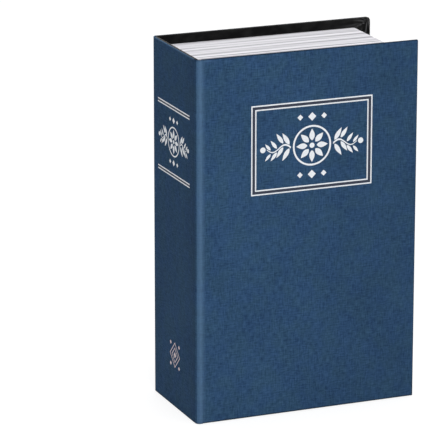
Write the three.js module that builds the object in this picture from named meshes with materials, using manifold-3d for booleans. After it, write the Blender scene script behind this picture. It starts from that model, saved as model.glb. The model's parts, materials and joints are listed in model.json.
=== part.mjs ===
import * as THREE from "three";
import { mergeVertices } from "three/addons/utils/BufferGeometryUtils.js";
import Module from "manifold-3d";

// Book diversion safe: a steel box with a hinged, combination-locked lid, inside a
// hardback cover. Millimetres, Z up. The book stands on its tail, with its spine
// towards -X, its front cover towards -Y and its fore-edge towards +X.

const wasm = await Module();
wasm.setup();

// The closed book, over its covers.
const bookHeight = 180;
const bookWidth = 115;
const bookDepth = 57;

// A cover is cloth outside, board, and a lining inside.
const clothThickness = 0.4;
const boardThickness = 1.2;
const liningThickness = 0.4;
const turnIn = 4;
const foreEdgeRounding = 0.6;
const backCornerRadius = 2;
const spineCornerRadius = 2.2;

// The strip of cloth round the front corner of the spine, between its two creases.
const creaseReach = 3;
const creaseGap = 0.3;
const stripThickness = 0.5;

// The white strips that look like the edges of pages.
const headOverhang = 4.5;
const foreOverhang = 7;
const pageWall = 3;
const pageRimGap = 0.4;
const pageCornerRadius = 2.6;

// The steel box, its front frame and the rivets between them.
const sheet = 0.8;
const frameWidth = 8;
const tabWidth = 7;
const frameCornerRadius = 3;
const rivetInset = 4.5;
const rivetShankRadius = 1;
const rivetHeadRadius = 2;
const rivetHeadHeight = 0.6;
const rivetCrownRadius = 1.2;
const rivetCrownFall = 0.1;
const rivetRimHeight = 0.2;
const rivetTailRadius = 1.8;
const rivetsPerSide = 3;
const rivetEndMargin = 18;

// The lid: high over its hinged half, and stepped down round the lock.
const lidUnderCover = 0.6;
const lidMargin = 3;
const lidStep = 7.3;
const lidCornerRadius = 3;
const stepWidth = 5.8;
const stepToPlate = 9.7;
const bendRadius = 1.6;
const bendSteps = 5;

// The piano hinge.
const pinRadius = 1;
const knucklePairs = 9;
const knuckleEndGap = 0.3;
const leafWidth = 14;
const spineWallSetback = 1.8;

// The combination lock.
const plateWidth = 23;
const plateHeight = 52;
const plateThickness = 1;
const plateCornerRadius = 1.6;
const plateToFreeEdge = 12.7;
const lockCentreHeight = 101.9;
const trimInset = 0.8;
const trimWidth = 0.6;
const trimThickness = 0.15;
const bodyWidth = 20;
const bodyHeight = 48;
const bodyDepth = 13;

// The number wheels and their windows.
const wheelCount = 3;
const wheelPitch = 6.1;
const topWheelDrop = 12;
const wheelRadius = 6;
const wheelWidth = 4.6;
const wheelShift = -0.6;
const wheelDigits = 10;
const wheelNotchDepth = 0.35;
const wheelNotchWidth = 0.9;
const wheelLandSteps = 4;
const windowLeft = 3.8;
const windowRight = 2.8;
const windowHeight = 4.9;
const recessWidth = 10.6;
const recessDepth = 0.3;
const axleRadius = 1;
const axleSeat = 3;

// The knob, and the cam that it turns behind the front frame.
const knobRadius = 7.1;
const knobHeight = 5.6;
const knobBevel = 0.9;
const knobBevelWidth = 1.4;
const knobRise = 11;
const spindleRadius = 3;
const camThickness = 1.2;
const camWidth = 9;
const camTail = 6.5;
const camCrank = 16.8;
const camReach = 24.3;
const camTipWidth = 7;
const camBendRadius = 1.4;
const camTipRounding = 2;
const camHookRadius = 1.7;
const camHookSetback = 1;
const driveSquare = 4.2;
const washerRadius = 5;
const washerThickness = 1.8;
const screwHeadRadius = 2.8;
const screwHeadHeight = 1.4;
const screwCrownRadius = 2;
const screwCrownHeight = 0.6;
const screwRadius = 1.5;
const screwLength = 8;
const screwSlot = 0.7;
const tappedSpare = 1;

// The bent strap over the back of the lock.
const strapThickness = 1;
const strapLegWidth = 14;
const strapLegLength = 31;
const strapSlotWidth = 12;
const strapSlotMargin = 3;
const strapHoleRadius = 1.4;
const strapHoleDrop = 6;

// Fits: how far apart two faces stand that bear on each other, and two that run.
const seat = 0.05;
const clearance = 0.3;

// Worked-out places.
const coverThickness = clothThickness + boardThickness + liningThickness;
const spineX = -bookWidth / 2;
const foreX = bookWidth / 2;
const frontY = -bookDepth / 2;
const backY = bookDepth / 2;
const coverInnerY = frontY + coverThickness;
const boxLeft = spineX + coverThickness;
const boxBack = backY - coverThickness;
const boxRight = foreX - foreOverhang - pageWall;
const boxBottom = headOverhang + pageWall;
const boxTop = bookHeight - boxBottom;
const pageFrontY = coverInnerY + pageRimGap;

const knuckleRadius = pinRadius + clearance + sheet;
const lidFrontY = coverInnerY + lidUnderCover;
const pinX = boxLeft + sheet + seat + knuckleRadius;
const pinY = lidFrontY + knuckleRadius;
const lidRight = boxRight - lidMargin;
const lidBottom = boxBottom + lidMargin;
const lidTop = boxTop - lidMargin;
const shelfY = lidFrontY + lidStep;
const lidSideX = pinX + knuckleRadius + 2 * clearance;

const frameY = shelfY + sheet + clearance + rivetHeadHeight;
const tabY = frameY + sheet + seat;
const frameLeft = lidSideX;
const spineWallY = pinY + spineWallSetback;

const lockX = lidRight - plateToFreeEdge - plateWidth / 2;
const lockZ = lockCentreHeight;
const stepEndX = lockX - plateWidth / 2 - stepToPlate;
const stepStartX = stepEndX - stepWidth;

// Finishes.
const cloth = new THREE.MeshStandardMaterial({ color: 0x2e4967, roughness: 0.85 });
const greyBoard = new THREE.MeshStandardMaterial({ color: 0x8c857a, roughness: 0.95 });
const blackLining = new THREE.MeshStandardMaterial({ color: 0x1e1f22, roughness: 0.6 });
const whitePaper = new THREE.MeshStandardMaterial({ color: 0xf1f0ee, roughness: 0.9 });
const pagePlastic = new THREE.MeshStandardMaterial({ color: 0xe4e3e8, roughness: 0.7 });
const blackPaint = new THREE.MeshStandardMaterial({ color: 0x17181a, roughness: 0.7, metalness: 0.2 });
const hammeredPaint = new THREE.MeshStandardMaterial({ color: 0x3c4043, roughness: 0.5, metalness: 0.5 });
const blackPlastic = new THREE.MeshStandardMaterial({ color: 0x0d0d10, roughness: 0.35 });
const giltTrim = new THREE.MeshStandardMaterial({ color: 0xb88a2c, roughness: 0.35, metalness: 0.9 });
const brightSteel = new THREE.MeshStandardMaterial({ color: 0xc9c7bf, roughness: 0.3, metalness: 1 });
const castZinc = new THREE.MeshStandardMaterial({ color: 0xd9dbdc, roughness: 0.4, metalness: 0.9 });
const brass = new THREE.MeshStandardMaterial({ color: 0xb08d4a, roughness: 0.35, metalness: 1 });

// A closed geometry as a solid for cutting and joining.
function solid(geometry) {
  const bare = geometry.clone();
  bare.deleteAttribute("normal");
  bare.deleteAttribute("uv");
  const merged = mergeVertices(bare, 1e-4);
  const corners = merged.index.array;
  const kept = [];
  for (let i = 0; i < corners.length; i += 3) {
    const [a, b, c] = corners.slice(i, i + 3);
    if (a !== b && b !== c && c !== a) {
      kept.push(a, b, c);
    }
  }
  const mesh = new wasm.Mesh({
    numProp: 3,
    vertProperties: new Float32Array(merged.attributes.position.array),
    triVerts: new Uint32Array(kept),
  });
  return new wasm.Manifold(mesh);
}

// The finished piece: a named mesh with its own place.
function piece(name, body, material, place = [0, 0, 0]) {
  const { vertProperties, triVerts } = body.getMesh();
  const geometry = new THREE.BufferGeometry();
  geometry.setAttribute("position", new THREE.BufferAttribute(vertProperties, 3));
  geometry.setIndex(new THREE.BufferAttribute(triVerts, 1));
  geometry.computeVertexNormals();
  const mesh = new THREE.Mesh(geometry, material);
  mesh.name = name;
  mesh.position.set(...place);
  return mesh;
}

function group(place, ...children) {
  const made = new THREE.Group();
  made.position.set(...place);
  made.add(...children);
  return made;
}

// A box between two opposite corners.
function block([x0, x1], [y0, y1], [z0, z1]) {
  const box = new THREE.BoxGeometry(x1 - x0, y1 - y0, z1 - z0);
  return solid(box.translate((x0 + x1) / 2, (y0 + y1) / 2, (z0 + z1) / 2));
}

// An outline in X and Y, carried up Z.
function upright(outline, [z0, z1]) {
  const options = { depth: z1 - z0, bevelEnabled: false, curveSegments: 8 };
  const bar = new THREE.ExtrudeGeometry(outline, options);
  return solid(bar.translate(0, 0, z0));
}

// An outline in X and Z, with its thickness along Y.
function panel(outline, [y0, y1]) {
  const options = { depth: y1 - y0, bevelEnabled: false, curveSegments: 8 };
  const slab = new THREE.ExtrudeGeometry(outline, options);
  return solid(slab.rotateX(Math.PI / 2).translate(0, y1, 0));
}

// An outline in Y and Z, with its width along X.
function sideways(outline, [x0, x1]) {
  const slab = new THREE.ExtrudeGeometry(outline, { depth: x1 - x0, bevelEnabled: false });
  return solid(slab.rotateX(Math.PI / 2).rotateZ(Math.PI / 2).translate(x0, 0, 0));
}

// A rectangle with its four corners rounded, from the lower left one round to the upper left.
function roundedRectangle([x0, x1], [y0, y1], [lowLeft, lowRight, highRight, highLeft]) {
  const outline = new THREE.Shape();
  outline.moveTo(x0 + lowLeft, y0);
  outline.lineTo(x1 - lowRight, y0);
  outline.absarc(x1 - lowRight, y0 + lowRight, lowRight, -Math.PI / 2, 0);
  outline.lineTo(x1, y1 - highRight);
  outline.absarc(x1 - highRight, y1 - highRight, highRight, 0, Math.PI / 2);
  outline.lineTo(x0 + highLeft, y1);
  outline.absarc(x0 + highLeft, y1 - highLeft, highLeft, Math.PI / 2, Math.PI);
  outline.lineTo(x0, y0 + lowLeft);
  outline.absarc(x0 + lowLeft, y0 + lowLeft, lowLeft, Math.PI, Math.PI * 1.5);
  return outline;
}

// A path in which each inner corner is rounded by an arc.
function roundedPath(path, radius) {
  const points = path.map(([x, y]) => new THREE.Vector2(x, y));
  return points.flatMap((corner, i) => {
    if (i === 0 || i === points.length - 1) {
      return [corner];
    }
    const before = points[i - 1].clone().sub(corner).normalize();
    const after = points[i + 1].clone().sub(corner).normalize();
    const halfAngle = Math.acos(before.dot(after)) / 2;
    const centre = corner.clone().addScaledVector(
      before.clone().add(after).normalize(), radius / Math.sin(halfAngle));
    const from = corner.clone().addScaledVector(before, radius / Math.tan(halfAngle)).sub(centre);
    const turn = (Math.PI - 2 * halfAngle) * Math.sign(before.cross(after)) * -1;
    return Array.from({ length: bendSteps + 1 }, (_, step) => {
      return from.clone().rotateAround(new THREE.Vector2(), (turn * step) / bendSteps).add(centre);
    });
  });
}

// The outline of a bent sheet: a path, and the same path one thickness to its left.
function bentSheet(points, thickness) {
  const normals = points.slice(1).map((point, i) => {
    const along = point.clone().sub(points[i]).normalize();
    return new THREE.Vector2(-along.y, along.x);
  });
  const offset = points.map((point, i) => {
    const before = normals[Math.max(i - 1, 0)];
    const after = normals[Math.min(i, normals.length - 1)];
    const mitre = before.clone().add(after).normalize();
    return point.clone().addScaledVector(mitre, thickness / mitre.dot(after));
  });
  return new THREE.Shape([...points, ...offset.reverse()]);
}

function rodAlongZ(radius, [z0, z1], sides = 24) {
  const rod = new THREE.CylinderGeometry(radius, radius, z1 - z0, sides);
  return solid(rod.rotateX(Math.PI / 2).translate(0, 0, (z0 + z1) / 2));
}

function rodAlongY(radius, [y0, y1], sides = 32) {
  const rod = new THREE.CylinderGeometry(radius, radius, y1 - y0, sides);
  return solid(rod.translate(0, (y0 + y1) / 2, 0));
}

// A profile of radius and height, turned round Y.
function turnedAroundY(profile, sides = 48) {
  const points = profile.map(([radius, height]) => new THREE.Vector2(radius, height));
  return solid(new THREE.LatheGeometry(points, sides));
}

// The front cover hangs on its crease: the board, its cloth with three turned-in
// edges, and the white endpaper in the frame that they leave.
function frontCover() {
  const creaseX = spineX + creaseReach;
  const left = creaseGap;
  const right = foreX - creaseX;
  const boardFront = clothThickness;
  const boardBack = clothThickness + boardThickness;
  const rounding = [0, foreEdgeRounding, foreEdgeRounding, 0];
  const wrap = upright(
    roundedRectangle([left, right], [0, coverThickness], rounding), [0, bookHeight])
    .subtract(block([-1, right - clothThickness], [boardFront, boardBack],
      [clothThickness, bookHeight - clothThickness]))
    .subtract(block([-1, right - turnIn], [boardFront, coverThickness + 1],
      [turnIn, bookHeight - turnIn]));
  const board = block([left, right - clothThickness - seat],
    [boardFront + seat, boardBack - seat],
    [clothThickness + seat, bookHeight - clothThickness - seat]);
  const endpaper = block([left, right - turnIn - seat], [boardBack, coverThickness],
    [turnIn + seat, bookHeight - turnIn - seat]);
  return group([creaseX, frontY, 0],
    piece("front_cloth", wrap, cloth),
    piece("front_board", board, greyBoard),
    piece("front_endpaper", endpaper, whitePaper));
}

// The cloth of the joint rounds the front corner of the spine, and folds at both ends.
function cornerStrip() {
  const outer = spineCornerRadius;
  const inner = spineCornerRadius - stripThickness;
  const reach = creaseReach - creaseGap;
  const outline = new THREE.Shape();
  outline.moveTo(0, reach);
  outline.lineTo(0, outer);
  outline.absarc(outer, outer, outer, Math.PI, Math.PI * 1.5);
  outline.lineTo(reach, 0);
  outline.lineTo(reach, stripThickness);
  outline.lineTo(outer, stripThickness);
  outline.absarc(outer, outer, inner, Math.PI * 1.5, Math.PI, true);
  outline.lineTo(stripThickness, reach);
  return piece("corner_cloth", upright(outline, [0, bookHeight]), cloth, [spineX, frontY, 0]);
}

// Cloth over the spine, round its back corner and over the back cover, in one sheet.
function caseCloth() {
  const start = frontY + creaseReach + creaseGap;
  const radius = spineCornerRadius;
  const inner = radius - clothThickness;
  const bend = new THREE.Shape();
  bend.moveTo(spineX, start);
  bend.lineTo(spineX + clothThickness, start);
  bend.lineTo(spineX + clothThickness, backY - radius);
  bend.absarc(spineX + radius, backY - radius, inner, Math.PI, Math.PI / 2, true);
  bend.lineTo(spineX + radius + clothThickness, backY - clothThickness);
  bend.lineTo(spineX + radius + clothThickness, backY);
  bend.lineTo(spineX + radius, backY);
  bend.absarc(spineX + radius, backY - radius, radius, Math.PI / 2, Math.PI);
  bend.lineTo(spineX, start);
  const corners = [0, backCornerRadius, backCornerRadius, 0];
  const back = panel(roundedRectangle([spineX + radius, foreX], [0, bookHeight], corners),
    [backY - clothThickness, backY]);
  return upright(bend, [0, bookHeight]).add(back);
}

// The black lining of the spine, from its inner face over its head and its tail.
function wrappedSpineLining(start, cornerY) {
  const inside = block([boxLeft - liningThickness, boxLeft], [start, boxBack - seat], [0, bookHeight]);
  const over = [spineX + clothThickness + seat, boxLeft];
  return [0, bookHeight - liningThickness].reduce(
    (made, z) => made.add(block(over, [start, cornerY], [z, z + liningThickness])), inside);
}

// The fixed covers: spine and back boards between the cloth and a black lining.
function fixedCovers() {
  const start = frontY + creaseReach + creaseGap;
  const cornerY = backY - spineCornerRadius;
  const tall = [liningThickness + seat, bookHeight - liningThickness - seat];
  const spineBoard = block([spineX + clothThickness + seat, boxLeft - liningThickness - seat],
    [start, cornerY], tall);
  const backLeft = spineX + spineCornerRadius;
  const corners = [0, backCornerRadius, backCornerRadius, 0];
  const boardFront = boxBack + liningThickness;
  const boardBack = backY - clothThickness;
  const boardRight = foreX - liningThickness;
  const boardSpan = [liningThickness, bookHeight - liningThickness];
  const backLining = panel(roundedRectangle([backLeft, foreX], [0, bookHeight], corners),
    [boxBack, boardBack - seat])
    .subtract(block([backLeft - 1, boardRight], [boardFront, boardBack + 1], boardSpan));
  const backBoard = panel(
    roundedRectangle([backLeft, boardRight - seat],
      [boardSpan[0] + seat, boardSpan[1] - seat], [0, 0, 0, 0]),
    [boardFront + seat, boardBack - seat]);
  return group([0, 0, 0],
    piece("case_cloth", caseCloth(), cloth),
    piece("spine_board", spineBoard, greyBoard),
    piece("spine_lining", wrappedSpineLining(start, cornerY), blackLining),
    piece("back_board", backBoard, greyBoard),
    piece("back_lining", backLining, blackLining));
}

// Three white strips round the box, grooved like the edges of pages.
function pageStrips() {
  const depth = [pageFrontY, boxBack - seat];
  const right = boxRight + pageWall;
  const across = [boxLeft + seat, boxRight];
  const head = block(across, depth, [boxTop + seat, boxTop + pageWall]);
  const tail = block(across, depth, [boxBottom - pageWall, boxBottom - seat]);
  const corners = [0, pageCornerRadius, pageCornerRadius, 0];
  const fore = panel(
    roundedRectangle([boxRight + seat, right], [boxBottom - pageWall, boxTop + pageWall], corners),
    depth);
  return group([0, 0, 0],
    piece("page_strip_head", head, pagePlastic),
    piece("page_strip_tail", tail, pagePlastic),
    piece("page_strip_fore_edge", fore, pagePlastic));
}

// Where the rivets stand along the head and the tail of the front frame.
function rivetPlaces() {
  const first = frameLeft + rivetEndMargin;
  const last = boxRight - rivetInset;
  const step = (last - first) / (rivetsPerSide - 1);
  const places = [];
  for (const z of [boxTop - rivetInset, boxBottom + rivetInset]) {
    for (let i = 0; i < rivetsPerSide; i += 1) {
      places.push([first + i * step, z]);
    }
  }
  return places;
}

function withRivetHoles(body) {
  return rivetPlaces().reduce((drilled, [x, z]) => {
    const hole = rodAlongY(rivetShankRadius + clearance, [frameY - 1, tabY + sheet + 1], 24);
    return drilled.subtract(hole.translate([x, 0, z]));
  }, body);
}

// The folded steel box: five walls, and tabs turned in behind the front frame.
function strongbox() {
  const inside = [boxBottom + sheet, boxTop - sheet];
  const cavity = block([boxLeft + sheet, boxRight - sheet], [tabY + sheet, boxBack - seat - sheet], inside);
  const mouth = block([boxLeft + sheet, boxRight - tabWidth], [tabY - 1, tabY + sheet + 1],
    [boxBottom + tabWidth, boxTop - tabWidth]);
  const hingeRoom = block([boxLeft + sheet, frameLeft], [tabY - 1, tabY + sheet + 1], inside);
  const spineWall = block([boxLeft + seat, boxLeft + sheet], [spineWallY, tabY + sheet],
    [boxBottom, boxTop]);
  const shell = block([boxLeft + seat, boxRight], [tabY, boxBack - seat], [boxBottom, boxTop])
    .subtract(cavity)
    .subtract(mouth)
    .subtract(hingeRoom)
    .add(spineWall);
  return piece("strongbox", withRivetHoles(shell), blackPaint);
}

// A flat steel frame round the head, fore-edge and tail of the box's mouth.
function frontFrame() {
  const corner = frameCornerRadius;
  const outer = block([frameLeft, boxRight], [frameY, frameY + sheet], [boxBottom, boxTop]);
  const inner = panel(
    roundedRectangle([frameLeft - 1, boxRight - frameWidth],
      [boxBottom + frameWidth, boxTop - frameWidth], [0, corner, corner, 0]),
    [frameY - 1, frameY + sheet + 1]);
  return piece("front_frame", withRivetHoles(outer.subtract(inner)), blackPaint);
}

// A rivet, its domed head outside the frame and its closed end inside the tab.
function rivets() {
  const head = rivetHeadRadius;
  const shank = rivetShankRadius;
  const front = -seat;
  const back = 2 * sheet + 2 * seat;
  const closedEnd = back + rivetHeadHeight;
  const crownRim = front - rivetHeadHeight + rivetCrownFall;
  const profile = [
    [0, front - rivetHeadHeight],
    [rivetCrownRadius, crownRim],
    [head, front - rivetRimHeight],
    [head, front],
    [shank, front],
    [shank, back],
    [rivetTailRadius, back],
    [rivetTailRadius, closedEnd],
    [0, closedEnd],
  ];
  return rivetPlaces().map(([x, z], i) => {
    const body = turnedAroundY(profile, 20);
    return piece(`frame_rivet_${i + 1}`, body, brightSteel, [x, frameY, z]);
  });
}

// Every other knuckle of the piano hinge, from the tail up.
function knuckleSpans(first) {
  const pitch = (lidTop - lidBottom) / (2 * knucklePairs + 1);
  const spans = [];
  for (let i = first; i <= 2 * knucklePairs; i += 2) {
    const low = lidBottom + i * pitch;
    spans.push([low + knuckleEndGap / 2, low + pitch - knuckleEndGap / 2]);
  }
  return spans;
}

function withKnuckles(body, spans) {
  const bore = rodAlongZ(pinRadius + clearance, [lidBottom - 1, lidTop + 1]);
  return spans.reduce((rolled, span) => rolled.add(rodAlongZ(knuckleRadius, span)), body).subtract(bore);
}

// The fixed leaf is welded inside the spine wall of the box.
function hingeLeaf() {
  let leaf = block([-knuckleRadius, -knuckleRadius + sheet], [0, leafWidth], [lidBottom, lidTop]);
  const room = knuckleRadius + 2 * clearance;
  for (const [low, high] of knuckleSpans(0)) {
    const notch = [low - knuckleEndGap, high + knuckleEndGap];
    leaf = leaf.subtract(block([-knuckleRadius - 1, knuckleRadius], [-1, room], notch));
  }
  return group([pinX, pinY, 0],
    piece("hinge_leaf", withKnuckles(leaf, knuckleSpans(1)), hammeredPaint),
    piece("hinge_pin", rodAlongZ(pinRadius, [lidBottom, lidTop]), brightSteel));
}

// The lid is one pressed sheet: its hinged half stands high, with skirts at head and
// tail, and the half with the lock is stepped down on to the front frame.
function lidSheet() {
  const front = lidFrontY - pinY;
  const shelf = shelfY - pinY;
  const start = stepStartX - pinX;
  const end = stepEndX - pinX;
  const free = lidRight - pinX;
  const side = lidSideX - pinX;
  const path = roundedPath([[0, front], [start, front], [end, shelf], [free, shelf]], bendRadius);
  let made = upright(bentSheet(path, sheet), [lidBottom, lidTop]);
  const skirt = new THREE.Shape([
    new THREE.Vector2(side, shelf + sheet),
    new THREE.Vector2(side, front),
    ...path.slice(1, -1),
    new THREE.Vector2(end + stepWidth, shelf),
    new THREE.Vector2(end + stepWidth, shelf + sheet),
  ]);
  for (const z of [lidBottom, lidTop - sheet]) {
    made = made.add(upright(skirt, [z, z + sheet]));
  }
  for (const [low, high] of knuckleSpans(1)) {
    const slot = [low - knuckleEndGap, high + knuckleEndGap];
    made = made.subtract(block([-1, side], [front - 1, front + sheet + 1], slot));
  }
  const corners = [0, lidCornerRadius, lidCornerRadius, 0];
  const outline = roundedRectangle([-knuckleRadius - 1, free], [lidBottom, lidTop], corners);
  const cutout = block([-bodyWidth / 2 - clearance, bodyWidth / 2 + clearance], [-1, sheet + 1],
    [-bodyHeight / 2 - clearance, bodyHeight / 2 + clearance])
    .translate([lockX - pinX, shelf, lockZ]);
  made = made.intersect(panel(outline, [front - 1, shelf + sheet + 1])).subtract(cutout);
  return piece("lid", withKnuckles(made, knuckleSpans(0)), hammeredPaint, [pinX, pinY, 0]);
}

// Heights of the three number wheels, from the centre of the lock.
const wheelHeights = Array.from({ length: wheelCount },
  (_, i) => plateHeight / 2 - topWheelDrop - i * wheelPitch);
const plateFront = -seat - plateThickness;
const wheelDepth = plateFront + wheelRadius;
const knobZ = knobRise - plateHeight / 2;

// The face plate, with a window for each wheel in a shallow recess, and the knob's hole.
function facePlate() {
  const radii = Array(4).fill(plateCornerRadius);
  const wide = [-plateWidth / 2, plateWidth / 2];
  const high = [-plateHeight / 2, plateHeight / 2];
  let plate = panel(roundedRectangle(wide, high, radii), [plateFront, -seat]);
  for (const z of wheelHeights) {
    const half = windowHeight / 2;
    const window = block([wheelShift - windowLeft, wheelShift + windowRight],
      [plateFront - 1, 1], [z - half, z + half]);
    const relief = rodAlongZ(wheelRadius + clearance, [z - half, z + half], 48)
      .translate([wheelShift, wheelDepth, 0]);
    const recess = block([-recessWidth / 2, recessWidth / 2],
      [plateFront - 1, plateFront + recessDepth], [z - half, z + half]);
    plate = plate.subtract(recess).subtract(window).subtract(relief);
  }
  const hole = rodAlongY(spindleRadius + clearance, [plateFront - 1, 1]).translate([0, 0, knobZ]);
  return piece("lock_face_plate", plate.subtract(hole), blackPlastic);
}

// The gilt line just inside the edge of the face plate.
function plateTrim() {
  const ring = (inset) => roundedRectangle(
    [-plateWidth / 2 + inset, plateWidth / 2 - inset],
    [-plateHeight / 2 + inset, plateHeight / 2 - inset],
    Array(4).fill(plateCornerRadius));
  const front = plateFront - seat - trimThickness;
  const body = panel(ring(trimInset), [front, front + trimThickness])
    .subtract(panel(ring(trimInset + trimWidth), [front - 1, front + 1]));
  return piece("lock_trim", body, giltTrim);
}

// The lock's body, behind the plate: a moulding with a bay for the wheels.
function lockBody() {
  const bayHalf = wheelRadius + 2 * clearance;
  const top = wheelHeights[0] + wheelWidth / 2 + clearance;
  const bottom = wheelHeights[wheelCount - 1] - wheelWidth / 2 - clearance;
  const bay = block([wheelShift - bayHalf, wheelShift + bayHalf],
    [-1, wheelDepth + bayHalf], [bottom, top]);
  const axleBore = rodAlongZ(axleRadius + clearance, [bottom - axleSeat, top + axleSeat])
    .translate([wheelShift, wheelDepth, 0]);
  const spindleBore = rodAlongY(spindleRadius + clearance, [-1, bodyDepth + 1]).translate([0, 0, knobZ]);
  const body = block([-bodyWidth / 2, bodyWidth / 2], [0, bodyDepth], [-bodyHeight / 2, bodyHeight / 2])
    .subtract(bay)
    .subtract(axleBore)
    .subtract(spindleBore);
  const axle = rodAlongZ(axleRadius, [bottom - axleSeat + clearance, top + axleSeat - clearance]);
  return [
    piece("lock_body", body, blackPlastic),
    piece("wheel_axle", axle, brightSteel, [wheelShift, wheelDepth, 0]),
  ];
}

// A number wheel: ten lands for the digits, with a notch between each two.
function numberWheels() {
  const outline = new THREE.Shape();
  const steps = wheelLandSteps;
  const notch = wheelNotchWidth / wheelRadius;
  const land = (2 * Math.PI) / wheelDigits - notch;
  for (let digit = 0; digit < wheelDigits; digit += 1) {
    for (let i = 0; i <= steps; i += 1) {
      const angle = digit * (land + notch) + notch / 2 + (land * i) / steps;
      const place = [wheelRadius * Math.cos(angle), wheelRadius * Math.sin(angle)];
      if (digit === 0 && i === 0) {
        outline.moveTo(...place);
      } else {
        outline.lineTo(...place);
      }
    }
    const groove = (digit + 1) * (land + notch);
    const depth = wheelRadius - wheelNotchDepth;
    outline.lineTo(depth * Math.cos(groove), depth * Math.sin(groove));
  }
  const bore = rodAlongZ(axleRadius + clearance, [-wheelWidth, wheelWidth]);
  const body = upright(outline, [-wheelWidth / 2, wheelWidth / 2]).subtract(bore);
  return wheelHeights.map((z, i) => {
    return piece(`number_wheel_${i + 1}`, body, blackPlastic, [wheelShift, wheelDepth, z]);
  });
}

// The strap is bent over the top of the lock body and down its back, and clamps it.
function clampStrap() {
  const tabLow = bodyHeight / 2 + clearance;
  const tabHigh = tabLow + strapThickness;
  const legFront = bodyDepth + seat;
  const legBack = legFront + strapThickness;
  const half = bodyWidth / 2;
  const slotHalf = strapSlotWidth / 2;
  const slotSpan = [sheet + strapSlotMargin, bodyDepth - strapSlotMargin];
  const tab = block([-half, half], [sheet + seat, legBack], [tabLow, tabHigh])
    .subtract(block([-slotHalf, slotHalf], slotSpan, [tabLow - 1, tabHigh + 1]));
  const leg = block([-strapLegWidth / 2, strapLegWidth / 2], [legFront, legBack],
    [tabHigh - strapLegLength, tabHigh]);
  const hole = rodAlongY(strapHoleRadius, [legFront - 1, legBack + 1], 20)
    .translate([0, 0, tabHigh - strapHoleDrop]);
  return piece("clamp_strap", tab.add(leg).subtract(hole), brightSteel);
}

// The round knob, with a bevelled rim.
function knob() {
  const back = plateFront - clearance;
  const front = back - knobHeight;
  const body = turnedAroundY([
    [0, front],
    [knobRadius - knobBevelWidth, front],
    [knobRadius, front + knobBevel],
    [knobRadius, back],
    [0, back],
  ]);
  return piece("lock_knob", body, blackPlastic);
}

// The spindle runs from the knob through the lock, with a square end for the cam.
function spindle() {
  const start = plateFront - clearance + seat;
  const shoulder = bodyDepth + clearance - seat;
  const end = bodyDepth + clearance + camThickness;
  const half = driveSquare / 2;
  const body = rodAlongY(spindleRadius, [start, shoulder])
    .add(block([-half, half], [shoulder - 1, end], [-half, half]))
    .subtract(rodAlongY(screwRadius + clearance,
      [end + washerThickness - screwLength - tappedSpare, end + 1], 20));
  return piece("lock_spindle", body, brightSteel);
}

// The cam is a cranked lever. At rest it hangs down, with the lock undone.
function cam() {
  const base = bodyDepth + clearance;
  const tip = tabY + sheet + clearance + seat - shelfY;
  const path = [[base, camTail], [base, -camCrank], [tip, -camCrank], [tip, -camReach]];
  const bent = sideways(bentSheet(roundedPath(path, camBendRadius), camThickness),
    [-camWidth / 2, camWidth / 2]);
  const half = camWidth / 2;
  const tipHalf = camTipWidth / 2;
  const front = roundedRectangle([-half, half], [-camCrank - camThickness, camTail],
    [0, 0, half - seat, half - seat]);
  const tongue = roundedRectangle([-tipHalf, tipHalf], [-camReach, -camCrank],
    [camTipRounding, camTipRounding, 0, 0]);
  const outline = panel(front, [tip - 1, base + camThickness + 1])
    .add(panel(tongue, [tip - 1, base + camThickness + 1]));
  const hookZ = -camCrank - camThickness - camHookRadius - camHookSetback;
  const hook = rodAlongY(camHookRadius, [tip - 1, tip + camThickness + 1], 20)
    .translate([tipHalf, 0, hookZ]);
  const square = driveSquare / 2 + seat;
  const drive = block([-square, square], [base - 1, base + camThickness + 1], [-square, square]);
  return piece("lock_cam", bent.intersect(outline).subtract(hook).subtract(drive), castZinc);
}

// A black hexagonal washer and a brass screw hold the cam on its square.
function camFixings() {
  const washerStart = bodyDepth + clearance + camThickness + seat;
  const washerEnd = washerStart + washerThickness;
  const washer = rodAlongY(washerRadius, [washerStart, washerEnd], 6)
    .subtract(rodAlongY(screwRadius + clearance, [washerStart - 1, washerEnd + 1], 20));
  const headStart = washerEnd + seat;
  const headEnd = headStart + screwHeadHeight;
  const tipY = headStart - screwLength;
  const screw = turnedAroundY([
    [0, tipY],
    [screwRadius, tipY],
    [screwRadius, headStart],
    [screwHeadRadius, headStart],
    [screwHeadRadius, headEnd - screwCrownHeight],
    [screwCrownRadius, headEnd],
    [0, headEnd],
  ], 24);
  const slot = block([-screwHeadRadius - 1, screwHeadRadius + 1], [headEnd - screwSlot, headEnd + 1],
    [-screwSlot / 2, screwSlot / 2]);
  return [
    piece("cam_washer", washer, blackPlastic),
    piece("cam_screw", screw.subtract(slot), brass),
  ];
}

// The lock, placed by the centre of its plate on the lid's lower half.
function lock() {
  const turning = group([0, 0, knobZ], knob(), spindle(), cam(), ...camFixings());
  return group([lockX, shelfY, lockZ],
    facePlate(), plateTrim(), ...lockBody(), ...numberWheels(), clampStrap(), turning);
}

const book = new THREE.Group();
book.add(fixedCovers(), cornerStrip(), frontCover(), pageStrips());
book.add(strongbox(), frontFrame(), ...rivets(), hingeLeaf(), lidSheet(), lock());

export default book;
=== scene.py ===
import json
import math

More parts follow.
